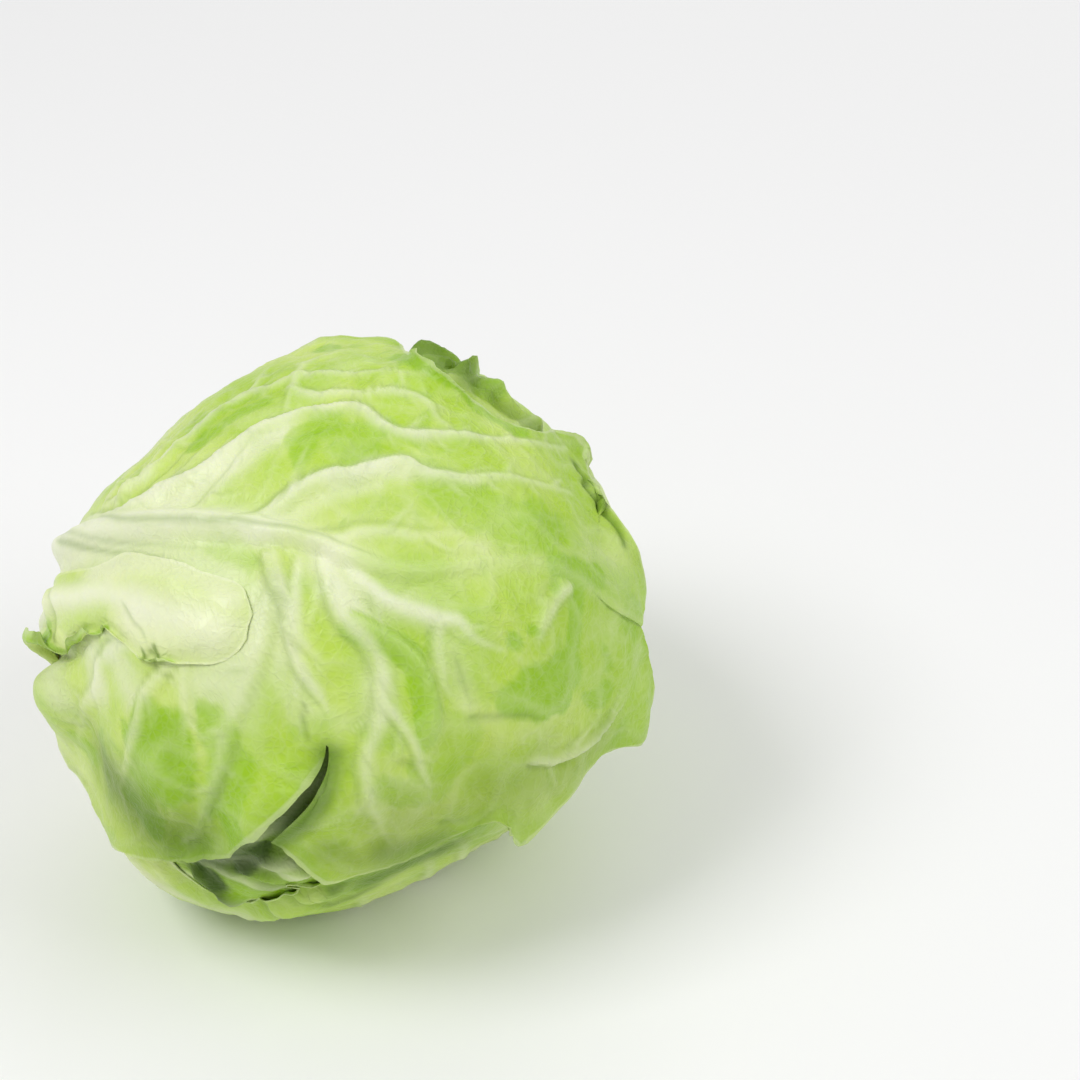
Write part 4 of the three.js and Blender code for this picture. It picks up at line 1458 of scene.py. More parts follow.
@dataclass
class LeafMesh:
    """Makes the mesh of one leaf, a grid of rows across its rib.

    blade is the leaf's thickness in millimetres and edge_left the share of it at the margin;
    covered_rib is the share of its relief that is left where other leaves press on it. touching
    is how far apart the middles of two leaves are that touch, sizes are those of chance forms
    and reaches count from the margin in, all in millimetres. A pale foot is foot_width degrees
    wide to either side and fades over twice foot_fade. The grid starts as a square of start_side
    metres, and chart is the share of its UV map for a millimetre.
    """

    plan: LeafPlan
    index: int
    layers: Layers
    twigs: Twigs = Twigs()
    collar: Collar = Collar()
    blade: float = 0.85
    edge_left: float = 0.4
    edge_steps: int = 8
    covered_rib: float = 0.16
    touching: float = 0.65
    rag_sizes: tuple[float, float, float] = (21.0, 8.0, 4.2)
    frill_size: float = 24.0
    frill_reach: float = 13.0
    pucker_size: float = 13.0
    crumple_size: float = 6.0
    net_sizes: tuple[float, float] = (19.0, 9.0)
    net_height: float = 0.38
    net_tint: float = 0.17
    margin_reach: float = 9.0
    foot_fade: float = 18.0
    foot_width: float = 44.0
    curl_size: float = 14.0
    start_side: float = 0.2
    chart: float = 0.01

    def __post_init__(self) -> None:
        """Lays the grid out and measures its points against every leaf's outline."""
        self.positions = self.row_positions()
        high_shares, low_shares = self.shares(Side.HIGH), self.shares(Side.LOW)
        high, low = self.half(Side.HIGH, high_shares), self.half(Side.LOW, low_shares)
        grid = np.concatenate([high[:, ::-1], low[:, 1:]], axis=1)
        self.rows, self.columns = grid.shape[:2]
        self.coords = grid.reshape(-1, 2)
        self.side_shares = np.concatenate([high_shares[::-1], low_shares[1:]])
        self.rib_column = len(high_shares) - 1
        self.low_columns = np.arange(self.columns) > self.rib_column
        self.u = np.repeat(self.positions / self.positions[-1], self.columns)
        self.directions = HEAD.directions(self.plan.turn, self.coords)
        layers = self.layers
        self.distances = layers.distances(self.directions, layers.solid)
        seen = layers.distances(self.directions, layers.seen)
        self.from_edge = np.maximum(-seen[self.index], 0) * ARC
        self.open_share = layers.exposure(self.index, seen, layers.open_ramp)
        self.open_rib = layers.exposure(self.index, seen, layers.rib_ramp)

    def row_positions(self) -> Array:
        """Spaces the leaf's rows about a cell apart.

        Returns:
            Their places, counted in stations.
        """
        numbers = np.arange(len(self.plan.stations), dtype=float)
        shares = np.array([0.0, 0.5, 0.8])
        rows = np.concatenate([self.plan.seen(side, numbers, shares) for side in Side], axis=1)
        gaps = lengths(np.diff(rows, axis=0)).mean(1) * ARC
        found = []
        for i, gap in enumerate(gaps):
            torn = self.plan.tear is not None and i == self.plan.tear.after
            count = 2 if torn else max(2, round(gap / self.plan.cell))
            found.append(np.linspace(i, i + 1, count, endpoint=False))
        return np.concatenate([*found, [float(len(gaps))]])

    def shares(self, side: Side) -> Array:
        """Spaces the leaf's columns about a cell apart.

        Args:
            side: Which side of the rib.

        Returns:
            Shares of the way from the rib to the edge.
        """
        numbers = np.arange(len(self.plan.stations), dtype=float)
        fine = self.plan.seen(side, numbers, np.linspace(0, 1, 30))
        reach = lengths(np.diff(fine, axis=1)).sum(1) * ARC
        count = max(8, round(float(np.percentile(reach, 80)) / self.plan.cell))
        return np.linspace(0, 1, count + 1)

    def half(self, side: Side, shares: Array) -> Array:
        """Lays out one side, the outermost part of each row a little further or shorter.

        Args:
            side: Which side of the rib.
            shares: The columns' shares of the way to the edge.

        Returns:
            Leaf coordinates, rows by shares by two.
        """
        coords = self.plan.seen(side, self.positions, shares)
        noise = Noise(self.plan.seed + RAGGED_DRAW)
        outward = unit(coords[:, -1] - coords[:, -4])
        way = way_along(coords[:, -1], ARC)
        row = 3.7 * side.value
        broad, small, teeth = (noise.line(way, size, row) for size in self.rag_sizes)
        rag = broad + 0.6 * small + 0.5 * np.abs(teeth)
        amount = self.plan.ragged * rag / ARC * smooth(way / 20)
        amount = amount * smooth((self.positions[-1] - self.positions) / 0.8)
        if self.plan.tear and side is Side.LOW:
            from_tip = np.abs(self.positions - self.plan.tear.after - 0.5)
            amount = amount * smooth(from_tip * 1.2)
        push = smooth((shares - 0.8) / 0.2)[None, :, None]
        return coords + (amount[:, None] * outward)[:, None, :] * push

    def lift(self) -> Array:
        """Lifts the leaf off what it lies on.

        Returns:
            Millimetres for each point.
        """
        plan, u = self.plan, self.u
        share = np.tile(self.side_shares, self.rows)
        near_edge = np.maximum(share, (u - 0.75) / 0.25).clip(0) ** 3
        amount, waves, phase = plan.ruffle
        side_phase = np.tile(np.where(self.low_columns, 0.0, 2.0), self.rows)
        turning = u * waves * math.pi + phase + side_phase
        lift = near_edge * amount * (0.9 + np.sin(turning))
        for spot in plan.lifts:
            dx = (self.coords[:, 0] - spot.at[0]) * np.cos(self.coords[:, 1] * DEG)
            away = np.hypot(dx, self.coords[:, 1] - spot.at[1])
            lift = lift + spot.rise * bump(away, spot.reach)
        if plan.tear:
            low_shares = np.where(self.low_columns, self.side_shares, 0.0)
            lift = lift + plan.tear.rise(self.positions, low_shares).ravel()
        noise, spots = Noise(plan.seed + FRILL_DRAW), self.directions * SKIN
        half = noise.at(spots + 37.0, self.frill_size / 2) / 2
        chance = 0.5 + 0.5 * (noise.at(spots, self.frill_size) + half)
        near_edge = smooth(1 - self.from_edge / self.frill_reach) ** 1.5
        return lift + plan.frill * near_edge * chance.clip(0, 1.4)

    def settle(self, offset: Array, round_share: Array) -> Array:
        """Adds to a leaf's place among the others how it lifts and settles there.

        Args:
            offset: Millimetres from the heart to the leaf's middle, as it is packed.
            round_share: 1 on the round of the head and 0 on its flat.

        Returns:
            Millimetres from the heart to the leaf's middle as it lies.
        """
        under = range(self.index)
        covers_some = sum(1 - smooth(self.distances[k] / 6) for k in under)
        sink = self.plan.snug * (self.layers.gap(self.directions) - self.touching)
        sink = sink * smooth(1 - self.from_edge / self.plan.snug_reach)
        sink = sink * np.minimum(covers_some, 1)
        offset = offset + self.open_share * self.lift() - sink * round_share
        return offset + HEAD.undulation(self.directions) * round_share

    def draw(self, grid: Array) -> tuple[Array, dict[str, Array]]:
        """Works out the rib, the veins and all else that is drawn on the leaf.

        Args:
            grid: The leaf's points.

        Returns:
            Millimetres of relief and the attributes' values, point by point.
        """
        plan, u = self.plan, self.u
        relief = Relief.of(self.coords, [*plan.lines, *self.twigs.of(plan)])
        rib_away = np.abs(self.from_rib(grid)).ravel()
        rib_half = plan.rib[1] * ARC * (1 - 0.75 * u)
        rib_shape = 1 - smooth(rib_away / np.maximum(rib_half * 1.15, 0.1))
        rib_left = (1 - 0.85 * u) * (1 - 0.75 * smooth((u - 0.5) / 0.35))
        rib = plan.rib[0] * rib_left * rib_shape
        trough = 0.5 * rib_left * bump(rib_away - 1.45 * rib_half, 0.5 * rib_half + 0.6)
        height = np.maximum(rib, relief.height) + 0.5 * np.minimum(rib, relief.height)
        height = np.where(relief.height < 0, rib + relief.height, height) - trough

        noise, spots = Noise(plan.seed), self.directions * LEAF_SKIN
        height = height + plan.pucker * noise.at(spots, self.pucker_size)
        height = height + plan.crumple * noise.at(spots + 40, self.crumple_size)
        coarse, close = self.net_sizes
        threads = np.maximum(0, 1 - 5.5 * np.abs(noise.at(spots + 70, coarse)))
        threads = np.maximum(threads, 0.6 - 3.5 * np.abs(noise.at(spots + 130, close)))
        threads = plan.net * threads * (1 - np.minimum(1, relief.vein + rib_shape))

        fade = 1 - 0.8 * smooth((u - plan.rib_fade) / 0.4)
        rib_tint = bump(rib_away, rib_half * 0.95 + 1.0) * fade
        from_stem, from_line = self.coords[:, 0], self.coords[:, 1]
        foot = smooth((plan.pale_reach + self.foot_fade - from_stem) / (2 * self.foot_fade))
        foot = foot * bump(from_line, self.foot_width)
        values = {
            "vein": np.maximum(np.maximum(relief.vein, rib_tint), self.net_tint * threads),
            "painted_shade_line": relief.painted_shade_line,
            "lush": relief.lush,
            "pale": np.maximum(relief.pale, foot),
            "margin": smooth(1 - self.from_edge / self.margin_reach),
            "old": smooth((u - 0.55) / 0.45),
            "deep": relief.deep,
        }
        return height + self.net_height * threads, values

    def build(self) -> bpy.types.Object:
        """Makes the leaf.

        Returns:
            The leaf's object, placed in its mesh.
        """
        packed = self.layers.offset(self.index, self.directions, self.distances)
        round_share = 1 - HEAD.flat_share(self.directions, packed, self.index + 1)
        offset = self.settle(packed, round_share)
        radius = HEAD.surface(self.directions, offset, self.index + 1)
        grid = (self.directions * radius[:, None]).reshape(self.rows, self.columns, 3)
        height, values = self.draw(grid)
        damp = (self.covered_rib + (1 - self.covered_rib) * self.open_rib) * round_share
        height = (height * damp).reshape(self.rows, self.columns, 1)
        grid = grid + self.normals(grid) * height
        return self.mesh(self.collar.draw_in(self.curl(grid), offset), values)

    def from_rib(self, grid: Array) -> Array:
        """Millimetres along each row from the rib to each point, negative on the high side."""
        way = way_along(grid)
        return way - way[:, self.rib_column : self.rib_column + 1]

    @staticmethod
    def normals(grid: Array) -> Array:
        """Unit outward normals of a grid of points."""
        return unit(np.cross(np.gradient(grid, axis=1), np.gradient(grid, axis=0)))

    def curl(self, grid: Array) -> Array:
        """Curls the margins outwards where the leaf has lips.

        Args:
            grid: The leaf's points.

        Returns:
            The grid with its lips curled.
        """
        noise = Noise(self.plan.seed + CURL_DRAW)
        normals = self.normals(grid)
        strong = self.open_share.reshape(self.rows, self.columns)
        bent = grid.copy()
        for side in Side:
            columns = slice(self.rib_column, None, side.value)
            half = grid[:, columns]
            from_edge = way_along(half[:, ::-1])[:, ::-1]
            outward = unit(np.gradient(half, axis=1))
            waver = 1 + 0.35 * noise.at(half[:, -1], self.curl_size)[:, None]
            for lip in self.plan.lips:
                if lip.side is not side:
                    continue
                width = lip.width * lip.strength(self.positions, 1.5)[:, None] * waver
                past = np.maximum(0, width - from_edge) * strong[:, columns]
                angle = past / lip.radius
                rise = lip.radius * (1 - np.cos(angle))
                run = lip.radius * np.sin(angle) - past
                bent[:, columns] += normals[:, columns] * rise[..., None]
                bent[:, columns] += outward * run[..., None]
        return bent

    def mesh(self, grid: Array, values: dict[str, Array]) -> bpy.types.Object:
        """Turns a grid of points into a blade with its attributes.

        Args:
            grid: The leaf's points, round the head's centre.
            values: The attributes' values, point by point.

        Returns:
            The leaf's object.
        """
        leaf = add(
            bpy.ops.mesh.primitive_grid_add,
            self.plan.name + "_blade",
            x_subdivisions=self.columns - 1,
            y_subdivisions=self.rows - 1,
            size=self.start_side,
        )
        mesh = leaf.data
        place_points(mesh, grid.reshape(-1, 3))
        along = np.repeat(way_along(grid[:, self.rib_column])[:, None], self.columns, 1)
        chart = np.stack([self.from_rib(grid), along], -1).reshape(-1, 2) * self.chart
        corners = np.empty(len(mesh.loops), np.int32)
        mesh.loops.foreach_get("vertex_index", corners)
        mesh.uv_layers.active.data.foreach_set("uv", chart[corners].astype(np.float32).ravel())
        give_attributes(mesh, values)
        if self.plan.tear:
            select_faces(leaf, self.torn_faces(self.plan.tear))
            bpy.ops.mesh.delete(type="FACE")
            bpy.ops.object.mode_set(mode="OBJECT")
        self.thicken(leaf)
        return leaf

    def torn_faces(self, tear: Tear) -> Array:
        """Finds the grid's faces that a tear leaves out.

        Args:
            tear: The tear.

        Returns:
            A flag for each face, row after row.
        """
        middles = (self.positions[1:] + self.positions[:-1]) / 2
        rows = (middles > tear.after) & (middles < tear.after + 1)
        columns = np.arange(self.columns - 1) >= self.rib_column
        columns &= self.side_shares[:-1] >= tear.share
        return (rows[:, None] & columns[None, :]).ravel()

    def thicken(self, leaf: bpy.types.Object) -> None:
        """Gives a leaf its thickness, less at its margin, and smooth shading.

        Args:
            leaf: The leaf's object.
        """
        margin = np.empty(len(leaf.data.vertices), np.float32)
        leaf.data.attributes["margin"].data.foreach_get("value", margin)
        group = leaf.vertex_groups.new(name="body")
        for step in range(self.edge_steps + 1):
            chosen = np.nonzero(np.round(margin * self.edge_steps) == step)[0]
            left = 1 - (1 - self.edge_left) * step / self.edge_steps
            group.add(chosen.tolist(), left, "REPLACE")
        solid = leaf.modifiers.new("blade", "SOLIDIFY")
        solid.thickness = self.blade * MM
        solid.offset = 0
        solid.vertex_group = group.name
        bpy.ops.object.modifier_apply(modifier="blade")
        bpy.ops.object.shade_smooth_by_angle(angle=SMOOTH_ANGLE)

# -------------------- finishes


def srgb(screen: Screen) -> Colour:
    """Works out a colour.

    Args:
        screen: Its screen values, from 0 to 255.

    Returns:
        The colour as Blender takes it.
    """
    shares = [value / 255 for value in screen]
    light = [v / 12.92 if v <= 0.04045 else ((v + 0.055) / 1.055) ** 2.4 for v in shares]
    return (*light, 1.0)


class Wire:
    """A socket of a material's graph that takes part in sums."""

    def __init__(self, graph: "Graph", socket: bpy.types.NodeSocket | None) -> None:
        """Keeps the graph and the socket."""
        self.graph = graph
        self.socket = socket

    def maths(self, operation: str, *values: "float | Wire", clamp: bool = False) -> "Wire":
        """A Math node's result; clamp holds it between 0 and 1."""
        settings = {"operation": operation, "use_clamp": clamp}
        return self.graph.node("ShaderNodeMath", settings, dict(enumerate(values)))

    def __add__(self, other: "float | Wire") -> "Wire":
        """self + other."""
        return self.maths("ADD", self, other)

    def __sub__(self, other: "float | Wire") -> "Wire":
        """self - other."""
        return self.maths("SUBTRACT", self, other)

    def __rsub__(self, other: float) -> "Wire":
        """other - self."""
        return self.maths("SUBTRACT", other, self)

    def __mul__(self, other: "float | Wire") -> "Wire":
        """self * other."""
        return self.maths("MULTIPLY", self, other)

    __radd__ = __add__
    __rmul__ = __mul__

    def held(self) -> "Wire":
        """The value held between 0 and 1."""
        return self.maths("ADD", self, 0.0, clamp=True)

    def ramp(self, low: float, high: float) -> "Wire":
        """Eases the value from 0 at low to 1 at high."""
        sockets = {0: self, 1: low, 2: high, 3: 0.0, 4: 1.0}
        return self.graph.node("ShaderNodeMapRange", {"interpolation_type": "SMOOTHSTEP"}, sockets)


class Graph:
    """The nodes of one material."""

    def __init__(self, name: str) -> None:
        """Starts an empty material.

        Args:
            name: The material's name.
        """
        self.material = bpy.data.materials.new(name)
        self.material.use_nodes = True
        self.tree = self.material.node_tree
        self.tree.nodes.clear()

    def node(
        self,
        kind: str,
        settings: dict | None = None,
        sockets: dict | None = None,
        result: int | str = 0,
    ) -> Wire:
        """Adds a node.

        Args:
            kind: The node's type.
            settings: Its own settings, set first.
            sockets: Values or links for its inputs, by name or number.
            result: Which of its outputs is wanted.

        Returns:
            The wanted output.
        """
        node = self.tree.nodes.new(kind)
        for name, value in (settings or {}).items():
            setattr(node, name, value)
        for key, value in (sockets or {}).items():
            if isinstance(value, Wire):
                self.tree.links.new(value.socket, node.inputs[key])
            else:
                node.inputs[key].default_value = value
        return Wire(self, node.outputs[result] if node.outputs else None)

    def attribute(self, name: str) -> Wire:
        """A piece's own attribute."""
        return self.node("ShaderNodeAttribute", {"attribute_name": name}, result="Fac")

    def place(self) -> Wire:
        """A point's place on the piece, in metres."""
        return self.node("ShaderNodeTexCoord", result="Object")

    def noise(
        self,
        place: Wire,
        size: float,
        detail: float = 2.0,
        warp: float = 0.0,
        result: str = "Fac",
    ) -> Wire:
        """A noise with forms of a size in millimetres, drawn out of shape by warp."""
        sockets = {"Vector": place, "Scale": 1000 / size, "Detail": detail, "Distortion": warp}
        return self.node("ShaderNodeTexNoise", {}, sockets, result)

    def mix(self, factor: "float | Wire", a: "Colour | Wire", b: "Colour | Wire") -> Wire:
        """Mixes two colours."""
        settings = {"data_type": "RGBA", "clamp_factor": True}
        return self.node("ShaderNodeMix", settings, {0: factor, 6: a, 7: b}, 2)

    def vector(self, operation: str, sockets: dict, result: int | str = 0) -> Wire:
        """Adds a Vector Math node."""
        return self.node("ShaderNodeVectorMath", {"operation": operation}, sockets, result)

    def shift(self, place: Wire, by: Wire, amount: float) -> Wire:
        """Moves a place.

        Args:
            place: The place.
            by: The colour to move it by.
            amount: How far the colour's full range moves it, in millimetres.

        Returns:
            The moved place.
        """
        centred = self.vector("SUBTRACT", {0: by, 1: (0.5, 0.5, 0.5)})
        moved = self.vector("SCALE", {0: centred, "Scale": amount * MM})
        return self.vector("ADD", {0: place, 1: moved})

    def cells(self, place: Wire, size: float) -> Wire:
        """Adds irregular cells.

        Args:
            place: Where they are read.
            size: How large they are, in millimetres.

        Returns:
            The distance to a cell's wall, in cells.
        """
        settings = {"feature": "DISTANCE_TO_EDGE"}
        sockets = {"Vector": place, "Scale": 1000 / size, "Randomness": 0.9}
        return self.node("ShaderNodeTexVoronoi", settings, sockets, "Distance")

    def bump(self, height: Wire, distance: float, strength: float = 1.0) -> Wire:
        """Relief from a height, over a distance in millimetres."""
        sockets = {"Strength": strength, "Distance": distance * MM, "Height": height}
        return self.node("ShaderNodeBump", {}, sockets)

    def finish(self, sockets: dict) -> bpy.types.Material:
        """Ends the graph in a Principled surface.

        Args:
            sockets: The surface's inputs.

        Returns:
            The material.
        """
        shader = self.node("ShaderNodeBsdfPrincipled", {}, sockets)
        self.node("ShaderNodeOutputMaterial", {}, {"Surface": shader})
        return self.material


class LeafPattern:
    """What a leaf's colour is mixed by: its own attributes, and textures of sizes in mm."""

    WARP_SIZE = 1000 / 70
    WARP = 9.0
    BROAD = 42.0
    BLOTCHES = 17.0
    FINE = 4.5
    BLOOM = 22.0
    HERE_AND_THERE = 30.0
    WEB = 6.5
    SMALL_WEB = 2.6

    def __init__(self, g: Graph) -> None:
        """Adds the attributes and textures to a material.

        Args:
            g: The material's graph.
        """
        place = g.place()
        warp = g.noise(place, self.WARP_SIZE, 1.0, result="Color")
        warped = g.shift(place, warp, self.WARP)
        self.deep, self.painted_shade_line = g.attribute("deep"), g.attribute("painted_shade_line")
        self.lush, self.pale = g.attribute("lush"), g.attribute("pale")
        self.margin, self.old = g.attribute("margin"), g.attribute("old")
        # Veins fade where shade is painted.
        self.vein = g.attribute("vein") * (1 - self.deep * 0.75)
        self.broad = g.noise(place, self.BROAD, 2.0, 0.4)
        self.patchy = g.noise(warped, self.BLOTCHES, 2.0, 0.6)
        self.fine = g.noise(place, self.FINE, 3.0)
        self.bloom = g.noise(warped, self.BLOOM, 3.0)
        self.here_and_there = g.noise(place, self.HERE_AND_THERE, 1.0).ramp(0.42, 0.66)
        self.web = 1 - g.cells(warped, self.WEB).ramp(0.0, 0.16)
        self.small_web = 1 - g.cells(warped, self.SMALL_WEB).ramp(0.0, 0.2)
        self.open_skin = (1 - self.vein * 0.85) * (1 - self.pale * 0.5)


@dataclass(frozen=True)
class LeafFinish:
    """The skin of a leaf: green between pale veins, waxy, a little translucent.

    mid and light are its broad greens, lush its deeper patches and edge its margin; its two dark
    colours are painted shade, the darker painted into folds, gaps and under overlapping margins and
    the other into shade lines in creases and beside veins, which random tone also leans towards;
    relief is in millimetres and bleed_depth in metres.
    """

    name: str
    mid: Screen
    light: Screen
    lush: Screen
    pale: Screen
    vein: Screen
    edge: Screen
    lushness: float
    gloss: float = 1.0
    shade: Screen = (138, 164, 86)
    deep: Screen = (84, 118, 4)
    roughness: float = 0.42
    relief: float = 0.65
    translucence: float = 0.12
    bleed: tuple[float, float, float] = (0.8, 1.0, 0.2)
    bleed_depth: float = 0.003
    specular: float = 0.13
    coat: float = 0.14
    coat_roughness: float = 0.24

    def colour(self, g: Graph, p: LeafPattern) -> Wire:
        """Mixes the leaf's colour.

        Args:
            g: The material's graph.
            p: Its pattern.

        Returns:
            The colour.
        """
        pale, vein = srgb(self.pale), srgb(self.vein)
        shade, edge = srgb(self.shade), srgb(self.edge)
        colour = g.mix(p.broad.ramp(0.34, 0.66), srgb(self.mid), srgb(self.light))
        spots = p.patchy.ramp(0.60 - 0.12 * self.lushness, 0.70) * self.lushness
        green = (spots * (1 - p.pale * 0.9) + p.lush).held() * p.open_skin
        colour = g.mix(green * 0.95, colour, srgb(self.lush))
        colour = g.mix(p.old * (0.25 + 0.3 * p.patchy), colour, edge)
        paleness = p.pale * (0.75 + 0.5 * (p.broad - 0.5)) * (1 - p.lush * 0.95)
        colour = g.mix(paleness, colour, pale)
        colour = g.mix(p.bloom.ramp(0.52, 0.74) * 0.16 * (1 - green), colour, pale)
        colour = g.mix(p.web * p.open_skin * p.here_and_there * 0.07, colour, vein)
        colour = g.mix(p.small_web * p.open_skin * 0.05, colour, vein)
        # Painted shade: dark green in folds, gaps and under overlapping margins.
        colour = g.mix(p.deep, colour, srgb(self.deep))
        colour = g.mix(p.vein * (0.82 + 0.5 * (p.fine - 0.5)), colour, vein)
        # Painted shade lines in creases and beside veins, weaker inside the painted shade.
        colour = g.mix(p.painted_shade_line * 0.75 * (1 - p.deep * 0.8), colour, shade)
        colour = g.mix(p.margin * 0.30 * (1 - p.pale * 0.6), colour, edge)
        # A pale rim at the margin, left out where shade is painted.
        colour = g.mix(p.margin.ramp(0.965, 1.0) * 0.3 * (1 - p.deep), colour, pale)
        tone = (p.fine - 0.5) * 0.16 + (p.patchy - 0.5) * 0.18
        return g.mix(tone.held(), colour, shade)

    def material(self) -> bpy.types.Material:
        """Builds the material.

        Returns:
            The material.
        """
        g = Graph(self.name)
        p = LeafPattern(g)
        height = p.web * 0.22 + p.small_web * 0.2 + p.fine * 0.55 + p.patchy * 0.9
        rough = self.roughness + (p.fine - 0.5) * 0.25 + p.painted_shade_line * 0.1 - p.vein * 0.04
        return g.finish(
            {
                "Base Color": self.colour(g, p),
                "Roughness": rough,
                "Normal": g.bump(height * (1 - p.vein * 0.5), self.relief, 0.7),
                "Subsurface Weight": self.translucence,
                "Subsurface Radius": self.bleed,
                "Subsurface Scale": self.bleed_depth,
                "Specular IOR Level": self.specular + self.specular * self.gloss,
                # No coat where shade is painted.
                "Coat Weight": (1 - p.deep) * (self.coat * self.gloss),
                "Coat Roughness": self.coat_roughness,
            }
        )


LEAF_FINISHES = {
    Slot.WRAPPER: LeafFinish(
        "wrapper_leaf_skin", mid=(171, 208, 50), light=(197, 222, 98), lush=(148, 195, 0),
        pale=(238, 241, 211), vein=(238, 241, 214), edge=(136, 178, 46), lushness=0.45,
    ),
    Slot.INNER: LeafFinish(
        "inner_leaf_skin", mid=(176, 212, 54), light=(200, 225, 94), lush=(148, 194, 8),
        pale=(239, 243, 206), vein=(240, 244, 212), edge=(126, 172, 40), lushness=0.4, gloss=0.2,
        # The inner leaves' painted shade is darker still.
        deep=(60, 90, 2),
    ),
    Slot.BASE: LeafFinish(
        "torn_base_skin", mid=(202, 226, 116), light=(220, 235, 150), lush=(142, 192, 14),
        pale=(240, 243, 212), vein=(240, 244, 214), edge=(196, 222, 104), lushness=0.1,
    ),
    Slot.HEART: LeafFinish(
        "heart_skin", mid=(206, 228, 132), light=(224, 238, 164), lush=(178, 213, 76),
        pale=(238, 243, 198), vein=(240, 244, 202), edge=(170, 205, 80), lushness=0.2,
    ),
}


@dataclass(frozen=True)
class StemFinish:
    """The stem: fibrous and pale, with a dry cut face."""

    name: str = "cut_stem"
    skin: Screen = (226, 234, 190)
    core: Screen = (240, 240, 214)
    ring: Screen = (196, 190, 134)
    dry: Screen = (206, 186, 140)

    def material(self) -> bpy.types.Material:
        """Builds the material.

        Returns:
            The material.
        """
        g = Graph(self.name)
        place = g.place()
        cut, ring = g.attribute("cut"), g.attribute("ring")
        fibre, blotch = g.noise(place, 1.6, 4.0), g.noise(place, 8.0, 3.0)
        colour = g.mix(blotch.ramp(0.4, 0.7) * 0.5, srgb(self.skin), srgb(self.core))
        face = g.mix(ring * (0.5 + fibre * 0.6), srgb(self.core), srgb(self.ring))
        face = g.mix(blotch.ramp(0.5, 0.75) * 0.45, face, srgb(self.dry))
        return g.finish(
            {
                "Base Color": g.mix(cut, colour, face),
                "Roughness": 0.62 + (fibre - 0.5) * 0.3,
                "Normal": g.bump(fibre + blotch * 0.5 + ring * 0.4, 0.5, 0.7),
                "Subsurface Weight": 0.15,
                "Subsurface Radius": (0.8, 1.0, 0.4),
                "Subsurface Scale": 0.004,
            }
        )


@dataclass(frozen=True)
class FloorFinish:
    """The pale floor, which keeps its brightness far from the lamps."""

    name: str = "pale_floor"
    colour: Colour = (0.9, 0.9, 0.9, 1.0)
    glow: float = 0.36

    def material(self) -> bpy.types.Material:
        """Builds the material.

        Returns:
            The material.
        """
        g = Graph(self.name)
        away = g.vector("LENGTH", {0: g.place()}, "Value")
        return g.finish(
            {
                "Base Color": self.colour,
                "Roughness": 0.8,
                "Emission Color": away.ramp(0.5, 3.0) * self.glow,
                "Emission Strength": 1.0,
            }
        )

# -------------------- the pieces


def dress(piece: bpy.types.Object, material: bpy.types.Material, node: str) -> None:
    """Gives a piece its material and sets it in the frame in place of its solid.

    Args:
        piece: The piece.
        material: Its material.
        node: The node it stands for.
    """
    piece.data.materials.clear()
    piece.data.materials.append(material)
    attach(piece, "root")
    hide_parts(node)
    LOG.info("%s: %d faces, stands for %s", piece.name, len(piece.data.polygons), node)


@dataclass
class Foliage:
    """The leaves that show, from the heart outwards."""

    plans: list[LeafPlan] = field(default_factory=leaf_plans)

    def build(self) -> None:
        """Makes and dresses every leaf."""
        layers = Layers(self.plans)
        used = {plan.slot for plan in self.plans}
        materials = {slot: LEAF_FINISHES[slot].material() for slot in Slot if slot in used}
        for index, plan in enumerate(self.plans):
            leaf = LeafMesh(plan, index, layers).build()
            dress(leaf, materials[plan.slot], plan.name)


